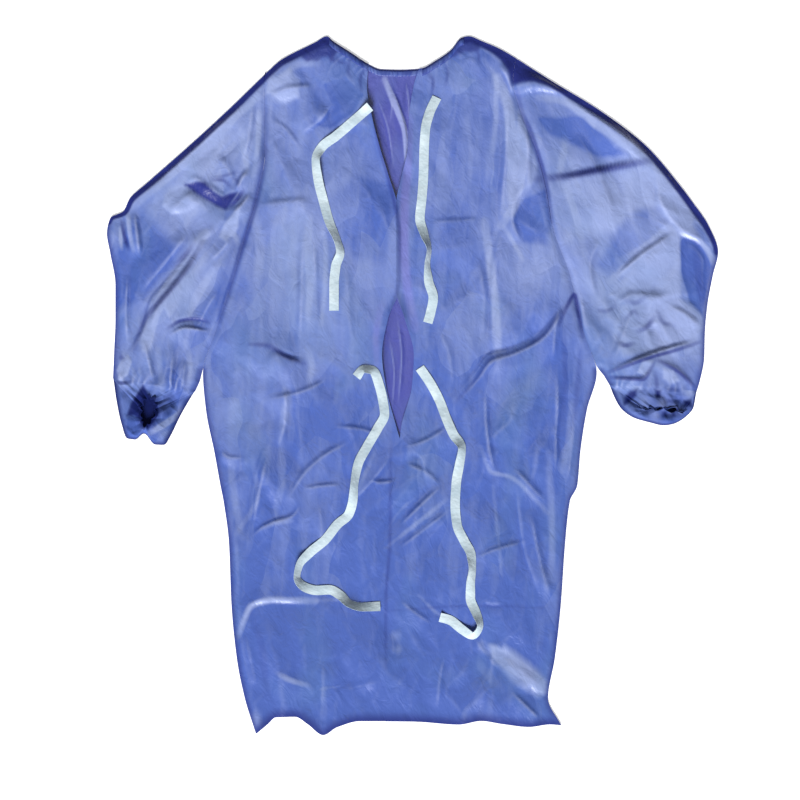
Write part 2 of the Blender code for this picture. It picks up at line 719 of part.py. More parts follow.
def neck_casing(name, start, end, depth, top):
    """A strip of gathered film over the elastic, along the neckline, on the panel under it."""
    gathers = max(2, round(abs(end - start) / GATHER_PITCH))
    rows = gathers * CASING_ROWS_PER_GATHER
    x = np.linspace(start, end, rows + 1)
    first = np.stack([x, top_line(x) - NECK_EDGE], axis=-1)
    second = first - np.array([0.0, depth])
    low, high = resting_edges(first, second, top, LAYER_GAP)

    def place(across, along):
        station = np.rint(along * rows).astype(int)
        share = across[:, None]
        plan = first[station] * (1 - share) + second[station] * share
        ground = low[station] * (1 - across) + high[station] * across
        gather = GATHER_HEIGHT * (0.5 - 0.5 * np.cos(2 * math.pi * gathers * along))
        return np.column_stack([plan, ground + gather])

    return film_sheet(name, 2, rows, place, BLUE_FILM, CASING_WALL)


def build():
    clear_scene()
    front = front_panel()
    left, right = back_left_panel(), back_right_panel()
    sleeve_tube("sleeve_left", LEFT)
    sleeve_tube("sleeve_right", RIGHT)
    gathered_cuff("cuff_left", "left", LEFT)
    gathered_cuff("cuff_right", "right", RIGHT)
    on_front = top_finder([front])
    on_back = top_finder([left, right])
    neck_casing("neck_casing_front", *FRONT_CASING, on_front)
    for name, (start, end, depth) in CASINGS.items():
        neck_casing(name, start, end, depth, on_back)
    for name, points in TAPES.items():
        tape(name, points, TAPE_ROWS[name.split("_")[0]], on_back)


build()
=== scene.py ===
import math

import bpy
import numpy as np
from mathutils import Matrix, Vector


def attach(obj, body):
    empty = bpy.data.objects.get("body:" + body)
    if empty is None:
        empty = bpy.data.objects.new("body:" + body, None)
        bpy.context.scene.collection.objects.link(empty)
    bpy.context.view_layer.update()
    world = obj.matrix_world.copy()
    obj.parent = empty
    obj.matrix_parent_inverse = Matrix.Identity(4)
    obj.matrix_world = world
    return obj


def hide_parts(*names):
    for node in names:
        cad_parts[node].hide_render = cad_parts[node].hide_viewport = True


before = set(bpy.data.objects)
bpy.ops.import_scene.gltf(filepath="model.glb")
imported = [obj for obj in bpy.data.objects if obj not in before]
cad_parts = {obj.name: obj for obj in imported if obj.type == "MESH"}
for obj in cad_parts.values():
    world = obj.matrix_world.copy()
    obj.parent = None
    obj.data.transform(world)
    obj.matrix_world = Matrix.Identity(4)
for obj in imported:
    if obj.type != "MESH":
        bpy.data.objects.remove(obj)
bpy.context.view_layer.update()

FILM = 0.0004
BACK_BASE = 0.0011
SEAM_GAP = 0.0002
NECK_EDGE = 0.0015
LAYER_CLEAR = 0.0008
MM = 0.001
PER_METRE = 1000
TINY = 1e-6


def metres(rows, columns=2):
    """A table with its first columns turned from whole millimetres into metres."""
    return [(*(value / PER_METRE for value in row[:columns]), *row[columns:]) for row in rows]


# The body seen from above: distance up the garment, left edge, right edge.
BODY_SECTIONS = metres([
    (540, -236, 170),
    (500, -244, 165),
    (440, -243, 181),
    (380, -243, 205),
    (320, -253, 220),
    (260, -271, 230),
    (180, -293, 259),
    (90, -323, 280),
    (20, -345, 303),
    (-40, -340, 287),
    (-110, -326, 276),
    (-165, -316, 271),
    (-190, -311, 259),
    (-260, -302, 251),
    (-360, -298, 244),
    (-450, -289, 234),
    (-515, -276, 223),
    (-560, -262, 245),
    (-575, -257, 251),
], 3)
BELOW_HEM = -0.600

# Shoulders and neckline: distance across, height up the garment.
TOP_LINE = metres([
    (-246, 510),
    (-238, 517),
    (-216, 536),
    (-160, 565),
    (-141, 575),
    (-131, 567),
    (-103, 549),
    (-72, 529),
    (-52, 521),
    (-21, 520),
    (14, 522),
    (37, 534),
    (63, 552),
    (80, 572),
    (92, 575),
    (114, 567),
    (144, 554),
    (170, 539),
])
NECK_PEAK_LEFT = -0.141
NECK_PEAK_RIGHT = 0.088
NECK_LEFT = (NECK_PEAK_LEFT, -0.070)
NECK_RIGHT = (0.012, NECK_PEAK_RIGHT)

HEM_LINE = metres([
    (-257, -573),
    (-238, -557),
    (-225, -546),
    (-193, -545),
    (-172, -557),
    (-147, -575),
    (-124, -562),
    (-86, -552),
    (0, -553),
    (75, -558),
    (114, -552),
    (149, -557),
    (193, -562),
    (226, -558),
    (251, -560),
])

# Centre back: distance up, free edge of the left panel, free edge of the right panel.
OPENING = metres([
    (530, -72, 14),
    (494, -75, 2),
    (440, -66, -6),
    (390, -53, -8),
    (345, -39, -18),
    (297, -25, -27),
    (223, -17, -27),
    (157, -22, -27),
    (110, -40, -13),
    (50, -50, 2),
    (0, -44, -1),
    (-70, -26, -19),
    (-134, -8, -25),
    (-197, -1, -40),
    (-290, 1, -49),
    (-360, 2, -47),
    (-460, 2, -44),
    (-580, 2, -44),
], 3)

# Sleeves from armhole to cuff: outer edge across and up, inner edge across and up.
LEFT_SLEEVE = metres([
    (-238, 517, -276, 239),
    (-304, 453, -287, 200),
    (-366, 396, -299, 157),
    (-432, 338, -312, 118),
    (-466, 307, -318, 100),
    (-476, 287, -322, 90),
    (-497, 276, -326, 81),
    (-503, 250, -331, 68),
    (-497, 215, -336, 53),
    (-489, 165, -341, 39),
    (-489, 110, -346, 24),
    (-491, 60, -350, 8),
    (-493, 12, -357, -8),
], 4)
RIGHT_SLEEVE = metres([
    (170, 539, 229, 262),
    (231, 500, 240, 235),
    (308, 453, 250, 208),
    (387, 392, 259, 182),
    (435, 336, 266, 155),
    (461, 302, 271, 135),
    (488, 262, 275, 113),
    (503, 220, 280, 91),
    (494, 180, 286, 72),
    (485, 130, 292, 58),
    (481, 85, 299, 44),
    (480, 45, 306, 30),
    (474, 12, 314, 18),
    (468, -9, 323, 3),
], 4)
CROTCH = 0.015
CROTCH_BLEND = 0.035
UNDER_CROTCH = CROTCH + 0.010
# How far down the sleeve its edge follows the armhole, and how soon the outer edge leaves it.
ARMHOLE_SHARE = 0.222
ARMHOLE_EASE = 1.6
ARMHOLE_LEAST = 0.02
ARMHOLE_START = 0.006

# Tapes: distance across, height up the garment, roll about the tape's length in degrees.
TAPE_WIDTH = 0.0155
TAPE_WALL = 0.0006
TAPES = {
    "neck_tape_left": [
        (-70, 458, 0), (-100, 432, 0), (-127, 409, 8), (-149, 392, 0),
        (-159, 371, -30), (-155, 338, -10), (-147, 305, 0), (-137, 269, 20),
        (-123, 236, 45), (-119, 218, 30), (-126, 197, 10), (-129, 165, 0),
        (-129, 123, 0),
    ],
    "neck_tape_right": [
        (40, 474, 0), (28, 448, 0), (21, 420, 12), (19, 387, 0),
        (18, 346, 0), (15, 305, 10), (12, 275, 0), (19, 248, 30),
        (27, 222, 62), (24, 198, 55), (26, 172, 20), (34, 144, 0),
        (30, 121, 0), (25, 103, 0),
    ],
    "waist_tape_left": [
        (-92, 14, 10), (-80, 27, 35), (-66, 25, 25), (-55, 1, 0),
        (-49, -24, 0), (-46, -47, 8), (-57, -70, 0), (-75, -101, 0),
        (-90, -131, 15), (-96, -164, 35), (-98, -188, 15), (-105, -212, 0),
        (-123, -228, 0), (-144, -254, 0), (-169, -275, 10), (-186, -295, 40),
        (-190, -315, 50), (-178, -331, 20), (-157, -337, 0), (-137, -336, 0),
        (-119, -345, 15), (-103, -359, 40), (-83, -364, 30), (-53, -363, 10),
    ],
    "waist_tape_right": [
        (12, 29, 0), (29, 4, 0), (44, -24, 0), (55, -53, 10),
        (67, -80, 0), (81, -103, 35), (77, -130, 15), (72, -159, 0),
        (70, -197, 0), (73, -229, 12), (85, -256, 0), (96, -278, 15),
        (98, -300, 40), (95, -328, 20), (95, -349, 0), (104, -373, 20),
        (111, -394, 50), (99, -411, 35), (80, -400, 10), (62, -386, 0),
        (45, -381, 10),
    ],
}

# Creases in the film: the line that each follows, then its height and the widths of its slopes
# to the left and to the right of that line, in millimetres. Below zero it is a trough.
CREASES = [
    # Left back
    ([(-257, 295), (-226, 300), (-165, 305)], 4.0, 9, 14),
    ([(-178, 264), (-182, 190), (-185, 58)], 4.5, 9, 7),
    ([(-162, 256), (-159, 157), (-157, 91)], 3.0, 7, 7),
    ([(-234, 62), (-208, 46), (-178, 38)], 5.0, 6, 20),
    ([(-248, 70), (-218, 55), (-183, 45)], -3.0, 5, 5),
    ([(-317, -106), (-299, -119), (-279, -119)], 4.0, 5, 12),
    ([(-185, -172), (-152, -165), (-114, -162)], 3.5, 5, 11),
    ([(-213, 12), (-208, -24), (-210, -60), (-223, -109)], 6.0, 10, 12),
    ([(-244, -90), (-262, -155), (-271, -208), (-276, -254)], -3.0, 7, 7),
    ([(-238, -109), (-248, -155), (-257, -198), (-264, -244)], 6.0, 12, 9),
    ([(-267, -252), (-248, -234), (-225, -223), (-200, -216), (-182, -193)], 5.0, 6, 13),
    ([(-165, -363), (-185, -356), (-231, -353), (-258, -357), (-275, -382), (-285, -412)], 4.0, 5, 10),
    ([(-226, -471), (-198, -484), (-165, -494)], 1.4, 13, 15),
    ([(-134, 463), (-149, 440), (-185, 414)], 4.0, 9, 16),
    ([(-238, 475), (-202, 489), (-155, 494)], 4.0, 8, 13),
    ([(-239, 440), (-210, 424), (-183, 384)], 3.5, 7, 9),
    ([(-109, 215), (-106, 141), (-98, 55)], 3.0, 12, 12),
    ([(-129, 16), (-185, -11), (-248, -25)], 4.0, 12, 8),
    ([(-96, -90), (-136, -109), (-175, -141), (-208, -192)], 4.5, 12, 8),
    ([(-150, -530), (-147, -490), (-148, -452)], 3.0, 14, 14),
    ([(-276, -406), (-268, -440), (-256, -500)], 2.4, 14, 14),
    ([(-124, -502), (-85, -494), (-45, -484)], 1.6, 12, 14),
    ([(-155, -188), (-149, -238), (-159, -287)], 3.0, 10, 10),
    # Centre
    ([(-44, -91), (-86, -71), (-136, -67)], 3.0, 10, 6),
    ([(-35, -116), (-65, -155), (-100, -192)], 3.5, 7, 7),
    ([(-73, -157), (-50, -159), (-25, -155)], 4.0, 4, 8),
    ([(-17, -103), (22, -90), (65, -63)], 3.5, 7, 10),
    ([(-16, -126), (19, -141), (49, -165)], 4.0, 6, 10),
    ([(-24, -234), (12, -198), (50, -162)], 5.0, 8, 12),
    ([(-27, -271), (16, -239), (65, -201)], 3.5, 8, 12),
    ([(-6, -109), (12, -122), (19, -159)], -3.0, 5, 5),
    ([(-34, -402), (-32, -424), (-32, -445)], 1.6, 9, 9),
    ([(-24, -351), (2, -371), (34, -394)], 3.0, 5, 9),
    # Right back
    ([(25, 269), (70, 271), (114, 274)], 2.2, 4, 12),
    ([(144, 259), (134, 174), (132, 55)], 5.0, 13, 9),
    ([(157, 483), (154, 387), (144, 266)], 6.0, 12, 11),
    ([(183, 447), (190, 387), (192, 318)], 4.5, 8, 8),
    ([(198, 341), (170, 305), (164, 276), (182, 226)], 4.5, 7, 7),
    ([(271, 144), (243, 114), (215, 78), (167, 52), (131, 40), (109, 12), (72, -30)], 6.0, 26, 7),
    ([(274, 157), (241, 126), (210, 88), (162, 63), (126, 54), (103, 26), (67, -19)], -4.0, 6, 6),
    ([(271, 154), (276, 121), (280, 85)], -4.0, 5, 5),
    ([(236, 39), (238, -24), (236, -90), (234, -160)], 6.0, 9, 9),
    ([(119, 12), (121, -57), (126, -103), (136, -139), (155, -149)], 5.0, 7, 7),
    ([(167, -134), (193, -164), (221, -193)], 5.0, 7, 11),
    ([(165, -155), (170, -205), (178, -264), (211, -358)], -3.5, 7, 7),
    ([(193, -201), (206, -271), (228, -358)], 5.0, 10, 10),
    ([(113, -356), (131, -363), (149, -363)], -2.5, 5, 5),
    ([(141, -443), (177, -468), (221, -504)], 5.5, 18, 20),
    ([(98, -409), (121, -442), (147, -471)], 3.0, 6, 8),
    ([(160, -501), (187, -527), (213, -553)], 4.0, 6, 9),
    ([(187, -491), (206, -509), (225, -512)], -4.0, 7, 7),
    ([(267, -57), (261, -114), (253, -167)], 3.5, 7, 7),
    ([(244, 141), (234, 91), (231, 39)], 4.0, 8, 8),
    ([(42, 98), (62, 42), (67, -11)], 3.0, 10, 10),
    ([(167, 475), (202, 489), (262, 478)], 6.0, 40, 10),
    ([(141, 529), (157, 503), (167, 473)], 6.0, 16, 7),
    ([(95, -287), (144, -267), (197, -254)], 3.0, 7, 12),
    ([(55, -435), (45, -484), (40, -537)], 3.0, 9, 9),
    ([(104, 223), (118, 141), (114, 55)], 3.0, 9, 9),
    # Left sleeve
    ([(-261, 476), (-267, 420), (-274, 387), (-284, 360)], 4.0, 6, 6),
    ([(-378, 336), (-341, 312), (-305, 289)], -4.5, 5, 5),
    ([(-371, 348), (-333, 325), (-299, 300)], 6.0, 7, 7),
    ([(-305, 289), (-289, 305), (-276, 327)], -4.5, 5, 5),
    ([(-297, 282), (-279, 299), (-267, 318)], 5.0, 6, 6),
    ([(-290, 320), (-282, 338), (-272, 356)], 6.0, 5, 5),
    ([(-401, 284), (-379, 305), (-353, 323)], 6.0, 14, 14),
    ([(-350, 248), (-379, 207), (-407, 172), (-432, 141), (-447, 91), (-481, 39)], -5.0, 7, 7),
    ([(-340, 239), (-369, 193), (-396, 157), (-420, 124), (-433, 81)], 7.0, 16, 8),
    ([(-363, 259), (-392, 220), (-422, 183), (-448, 151)], 5.0, 8, 15),
    ([(-401, 95), (-374, 108), (-350, 108), (-330, 100)], -3.5, 5, 5),
    ([(-402, 81), (-373, 95), (-331, 88)], 5.0, 5, 13),
    ([(-475, 285), (-471, 248), (-466, 223)], -4.5, 5, 5),
    ([(-458, 289), (-452, 246), (-448, 207)], 7.0, 8, 11),
    ([(-297, 246), (-313, 223), (-335, 202)], 4.0, 9, 9),
    ([(-269, 468), (-308, 434), (-358, 387), (-407, 343), (-447, 309)], 4.0, 12, 10),
    ([(-468, 193), (-471, 124), (-468, 55)], 4.5, 8, 8),
    ([(-442, 78), (-432, 35), (-422, -1)], 4.5, 7, 7),
    ([(-394, 68), (-396, 22), (-402, -17)], 4.5, 7, 7),
    ([(-320, 157), (-341, 121), (-359, 81)], 3.5, 8, 8),
    ([(-330, 387), (-304, 358), (-290, 325)], 3.5, 9, 9),
    ([(-481, 22), (-475, 3), (-475, -20)], 3.5, 5, 5),
    ([(-373, 42), (-376, 12), (-382, -14)], 3.5, 6, 6),
    # Right sleeve
    ([(243, 475), (308, 435), (374, 387), (402, 360)], 6.0, 9, 14),
    ([(223, 341), (259, 343), (295, 351), (341, 363), (386, 371)], 6.0, 6, 14),
    ([(399, 363), (407, 305), (440, 259), (473, 239), (499, 213)], 6.0, 12, 11),
    ([(440, 259), (407, 236), (374, 213), (325, 170)], 7.0, 14, 8),
    ([(456, 246), (483, 203), (486, 88)], -4.0, 10, 8),
    ([(330, 128), (362, 150), (396, 149), (418, 133)], 3.5, 10, 15),
    ([(418, 133), (446, 120), (476, 94)], 4.5, 6, 16),
    ([(350, 108), (380, 96), (402, 103), (424, 92)], 2.6, 10, 12),
    ([(332, 40), (346, 85), (362, 128)], 3.5, 9, 12),
    ([(475, 75), (424, 62), (374, 45), (320, 22)], 7.0, 18, 6),
    ([(399, 42), (432, 29), (456, 6), (470, -11)], 4.0, 7, 7),
    ([(322, 11), (374, 11), (401, 40)], 4.0, 6, 8),
    ([(266, 424), (308, 346), (335, 262)], 3.5, 12, 12),
    ([(312, 248), (292, 198), (302, 139)], 4.0, 9, 9),
]
CREASE_RISE = 0.70
CREASE_SHARPNESS = 1.7
CREASE_END = 0.32
CREASE_STEP = 0.006
# A crease's steep and gentle sides, as shares of the table's widths, and the least steep one.
STEEP = 0.95
LEAST_STEEP = 5.0
FLANK = 3.6

# Crumpled film: seed, size of its facets across and along in millimetres, turn in degrees, rise
# in millimetres, then the middle of the patch and its reach across and up, in metres.
CRUMPLE = [
    # All over
    (11, 66, 112, 8, 3.6, 0.00, 0.00, 9.00, 9.00),
    (12, 31, 52, 22, 1.7, 0.00, 0.00, 9.00, 9.00),
    (13, 15, 25, -15, 0.50, 0.00, 0.00, 9.00, 9.00),
    # Back panels
    (21, 12, 78, 3, 1.2, -0.19, 0.17, 0.08, 0.13),
    (22, 38, 58, 30, 4.2, -0.24, -0.10, 0.09, 0.13),
    (23, 13, 84, -5, 1.5, 0.17, 0.38, 0.06, 0.12),
    (24, 36, 62, -38, 4.0, 0.15, 0.16, 0.10, 0.12),
    (25, 28, 60, -12, 3.2, 0.15, -0.06, 0.10, 0.12),
    (26, 34, 46, 50, 3.4, -0.16, 0.46, 0.09, 0.07),
    (27, 26, 58, -40, 3.2, 0.00, -0.16, 0.08, 0.10),
    (28, 30, 52, -30, 3.4, 0.14, -0.47, 0.08, 0.08),
    (29, 26, 62, 12, 2.4, -0.20, -0.50, 0.07, 0.08),
    # Sleeves
    (31, 15, 88, -49, 2.0, -0.33, 0.36, 0.10, 0.10),
    (32, 38, 68, -40, 4.8, -0.38, 0.27, 0.10, 0.09),
    (33, 20, 62, -24, 3.4, -0.42, 0.10, 0.07, 0.13),
    (34, 9, 44, -8, 1.0, -0.42, 0.05, 0.06, 0.09),
    (35, 44, 76, 49, 3.8, 0.36, 0.36, 0.11, 0.10),
    (36, 9, 30, 58, 2.0, 0.43, 0.28, 0.045, 0.05),
    (37, 24, 40, 70, 4.4, 0.40, 0.12, 0.08, 0.07),
    (38, 14, 25, 20, 2.2, 0.38, 0.09, 0.08, 0.06),
]
CRUMPLE_BEND = 0.42
CRUMPLE_ROUND = 0.0015
CRUMPLE_LATTICE = (61, 67)


class Profile:
    """A smooth curve through one column of a table, which never overshoots a row."""

    def __init__(self, rows, column):
        rows = sorted(rows)
        self.keys = np.array([row[0] for row in rows], float)
        self.values = np.array([row[column] for row in rows], float)
        steps = np.diff(self.values) / np.diff(self.keys)
        self.slopes = np.zeros(len(rows))
        self.slopes[0], self.slopes[-1] = steps[0], steps[-1]
        for i in range(1, len(rows) - 1):
            before, after = steps[i - 1], steps[i]
            if before * after > 0:
                self.slopes[i] = 2 * before * after / (before + after)

    def __call__(self, key):
        key = np.clip(key, self.keys[0], self.keys[-1])
        i = np.clip(np.searchsorted(self.keys, key) - 1, 0, len(self.keys) - 2)
        span = self.keys[i + 1] - self.keys[i]
        t = (key - self.keys[i]) / span
        start = self.values[i] * (1 + 2 * t) * (1 - t) ** 2
        end = self.values[i + 1] * t ** 2 * (3 - 2 * t)
        bend = span * t * (1 - t) * (self.slopes[i] * (1 - t) - self.slopes[i + 1] * t)
        return start + end + bend


def numbered(rows):
    """Puts each row's share of the table's length in front of it, as the key of a profile."""
    last = len(rows) - 1
    return [(i / last, *row) for i, row in enumerate(rows)]


def smoothstep(low, high, value):
    t = np.clip((value - low) / (high - low), 0.0, 1.0)
    return t * t * (3 - 2 * t)


def lengths_along(points):
    """The distance along a line of points to each of them."""
    return np.concatenate([[0], np.cumsum(np.hypot(*np.diff(points[:, :2], axis=0).T))])


def line_of(x, y):
    return np.stack([x, y], axis=-1)


def smooth_line(points, step):
    """Even stations, in metres, on a smooth curve through a table's points."""
    points = np.array(points) / PER_METRE
    keys = lengths_along(points)
    rows = [(key, *point) for key, point in zip(keys, points)]
    at = np.linspace(0, keys[-1], max(3, int(keys[-1] / step) + 2))
    return line_of(Profile(rows, 1)(at), Profile(rows, 2)(at))


def measured(x, y, line):
    """Distance to a line of points, the side of it that each place is on, and how far along."""
    runs = np.diff(line, axis=0)
    before = lengths_along(line)
    away = np.full(x.shape, 1.0)
    side = np.zeros(x.shape)
    along = np.zeros(x.shape)
    for start, run, length, passed in zip(line[:-1], runs, np.hypot(*runs.T), before):
        offset_x, offset_y = x - start[0], y - start[1]
        share = np.clip((offset_x * run[0] + offset_y * run[1]) / max(length ** 2, TINY ** 2), 0, 1)
        distance = np.hypot(offset_x - share * run[0], offset_y - share * run[1])
        nearer = distance < away
        away = np.where(nearer, distance, away)
        side = np.where(nearer, run[0] * offset_y - run[1] * offset_x, side)
        along = np.where(nearer, (passed + share * length) / before[-1], along)
    return away, side, along


left_edge = Profile(BODY_SECTIONS, 1)
right_edge = Profile(BODY_SECTIONS, 2)
left_free_edge = Profile(OPENING, 1)
right_free_edge = Profile(OPENING, 2)
top_line = Profile(TOP_LINE, 1)
hem_line = Profile(HEM_LINE, 1)


class Sleeve:
    """The outline of one sleeve, laid flat."""

    def __init__(self, rows, body_edge, outward):
        keyed = numbered(rows)
        self.outer = [Profile(keyed, 1), Profile(keyed, 2)]
        self.inner = [Profile(keyed, 3), Profile(keyed, 4)]
        self.body_edge = body_edge
        self.outward = outward

    def outer_edge(self, along):
        return np.array([self.outer[0](along), self.outer[1](along)])

    def inner_edge(self, along):
        """The inner edge, kept just clear of the body where it lies beside it."""
        x, y = self.inner[0](along), self.inner[1](along)
        clear = self.body_edge(y) + self.outward * SEAM_GAP
        beside = np.where(y > CROTCH, clear, x)
        x = np.maximum(x, beside) if self.outward > 0 else np.minimum(x, beside)
        return np.array([x + (clear - x) * smoothstep(CROTCH, CROTCH + CROTCH_BLEND, y), y])

    def outline(self, along, share):
        """A point in plan, at a share of the width from the outer edge to the inner one."""
        outer, inner = self.outer_edge(along), self.inner_edge(along)
        x, y = outer + (inner - outer) * share
        armhole = self.body_edge(y) + self.outward * SEAM_GAP
        follow = np.clip(1 - along / ARMHOLE_SHARE, 0, 1) ** 2
        at_outer_edge = 1 - smoothstep(0, np.maximum(ARMHOLE_EASE * along, ARMHOLE_LEAST), share)
        follow = follow * (1 - at_outer_edge * smoothstep(0, ARMHOLE_START, along))
        return x + (armhole - x) * follow, y


LEFT = Sleeve(LEFT_SLEEVE, left_edge, -1)
RIGHT = Sleeve(RIGHT_SLEEVE, right_edge, 1)

# The upper edges lie against the light: from the neck peak to the elbow the film falls straight
# to the table. Share of the edge's length and width of that slope, in millimetres.
TOP_SLOPE_LEFT = [(0.0, 20), (0.05, 15), (0.12, 13), (0.25, 11), (0.5, 12), (0.72, 12),
                  (0.90, 10), (1.0, 6)]
TOP_SLOPE_RIGHT = [(0.0, 14), (0.06, 12), (0.12, 18), (0.165, 32), (0.195, 47), (0.215, 34),
                   (0.245, 20), (0.30, 12), (0.5, 12), (0.85, 13), (1.0, 8)]
ELBOW_LEFT = 6.3 / 12
ELBOW_RIGHT = 7 / 13
TOP_REACH = 0.200
TOP_SOFT = 0.6
# Painted shade over the upper edges' slope: full up to this share of its width, then fading.
TOP_DARK = 0.72
SIDES = [
    (LEFT, NECK_PEAK_LEFT, NECK_LEFT, ELBOW_LEFT, TOP_SLOPE_LEFT),
    (RIGHT, NECK_PEAK_RIGHT, NECK_RIGHT, ELBOW_RIGHT, TOP_SLOPE_RIGHT),
]
# Height of the film along the upper edges, over the body and at the hem, in millimetres.
CREST = 5.8
BODY_LEVEL = 5.0
HEM_LEVEL = 2.6
HEM_FALL = (-0.42, -0.56)
LEAST_LEVEL = 0.35
CREST_FADE = 0.050
# The other edges: how they round off, rise inwards and take a painted shade.
EDGE_ROUND = 0.004
EDGE_LEVEL = 0.30
EDGE_BLEND = 0.065
EDGE_SOFT = 0.014
EDGE_DARK = 0.0105
EDGE_SHADE = 0.72
HEM_DARK = 0.0190
HEM_SHADE = 0.85
SEAM_DIP = 2.4
SEAM_HALF = 0.0060
RELIEF_ROUND = 0.0014

# Painted shade where the film folds down into the dark: the line, reach in millimetres and
# strength. A band is full up to a share of its reach and keeps a share of its strength at its ends.
BAND_STEP = 0.004
BAND_CORE = 0.3
BAND_ENDS = 0.35
SHADES = [
    # Left elbow
    ([(-500, 268), (-492, 284), (-474, 290)], 7, 0.95),
    ([(-479, 272), (-475, 250), (-467, 224)], 4, 0.85),
    # Pit of the left sleeve
    ([(-372, 331), (-345, 320), (-318, 304), (-304, 293)], 8, 1.0),
    ([(-330, 341), (-308, 345), (-288, 352)], 4, 0.45),
    ([(-306, 292), (-292, 303), (-278, 321)], 6, 0.9),
    ([(-330, 338), (-314, 338), (-300, 328)], 4, 0.7),
    # Armholes
    ([(-240, 455), (-244, 375), (-258, 300), (-285, 212), (-318, 105)], 7, 0.62),
    ([(-240, 440), (-245, 370), (-262, 285)], 12, 0.30),
    ([(172, 485), (180, 450), (194, 418), (207, 378), (219, 335), (228, 270)], 6, 0.70),
    # Free edge of the left back
    ([(-74, 490), (-56, 400), (-34, 320), (-22, 250), (-22, 180), (-36, 118)], 5, 0.62),
    ([(-298, 342), (-288, 336), (-285, 324)], 3, 0.5),
    # Neck peaks
    ([(-171, 540), (-158, 536), (-148, 541)], 4, 0.75),
    ([(-139, 549), (-133, 539), (-126, 531)], 5, 0.8),
    ([(-128, 543), (-117, 531), (-104, 530)], 3, 0.5),
    ([(98, 557), (108, 546), (110, 530)], 3, 0.5),
    ([(-78, 522), (-86, 504), (-84, 484)], 4, 0.50),
    ([(-102, 540), (-106, 520), (-100, 502)], 4, 0.40),
    ([(22, 516), (34, 500), (32, 478)], 4, 0.55),
    ([(50, 536), (58, 515), (54, 492)], 4, 0.40),
    # Right sleeve
    ([(205, 339), (250, 344), (300, 353), (350, 362), (402, 372)], 9, 0.9),
    ([(463, 251), (472, 180), (484, 100)], 12, 0.34),
    # Left arm's long fold and the creases near the cuffs
    ([(-346, 235), (-372, 190), (-404, 150), (-438, 110), (-458, 60)], 7, 0.65),
    ([(-360, 232), (-376, 212), (-392, 196)], 7, 0.60),
    ([(-401, 94), (-382, 106), (-358, 110), (-334, 105)], 5, 0.85),
    ([(318, 14), (358, 11), (378, 10), (388, 22), (396, 38)], 5, 0.80),
    ([(398, 44), (432, 26), (456, 6), (472, -10)], 5, 0.85),
    ([(480, 74), (432, 58), (390, 46), (316, 20)], 5, 0.85),
    ([(398, 20), (401, 4), (402, -12)], 5, 0.50),
    ([(305, 124), (318, 122), (333, 130)], 5, 0.40),
    ([(338, 70), (351, 66), (363, 69)], 6, 0.60),
    ([(370, 89), (385, 96), (397, 112)], 6, 0.60),
    ([(346, 142), (366, 136), (384, 146)], 6, 0.40),
    ([(402, 122), (412, 104), (430, 98)], 5, 0.45),
    ([(352, 110), (364, 122), (372, 112)], 5, 0.40),
    # Cuffs
    ([(-493, 8), (-478, 4), (-460, 6)], 5, 0.80),
    ([(-482, 50), (-479, 46), (-476, 42)], 6, 0.60),
    ([(-478, -64), (-470, -70), (-464, -74)], 7, 0.60),
    ([(379, -48), (391, -39), (404, -33)], 5, 0.70),
    ([(364, -10), (374, -10), (384, -11)], 5, 0.55),
    ([(358, -36), (372, -37), (384, -36)], 5, 0.40),
    ([(415, -9), (427, -7), (440, -9)], 5, 0.55),
    # Right back
    ([(270, 148), (240, 116), (212, 80), (165, 54)], 5, 0.35),
    ([(128, 43), (108, 14), (70, -28)], 4, 0.25),
    ([(240, 100), (256, 134), (266, 150), (272, 124), (280, 80)], 5, 0.90),
    ([(248, 90), (251, 20), (246, -80)], 7, 0.30),
    ([(276, 60), (270, -20), (262, -70)], 6, 0.30),
    # Skirt
    ([(-268, 68), (-240, 66), (-208, 48), (-178, 36)], 5, 0.85),
    ([(-262, -380), (-246, -440), (-240, -510)], 9, 0.22),
    ([(-60, -372), (20, -366), (110, -362), (225, -366)], 3, 0.3),
    ([(-36, -100), (-37, -250), (-44, -360), (-44, -465)], 4, 0.45),
]
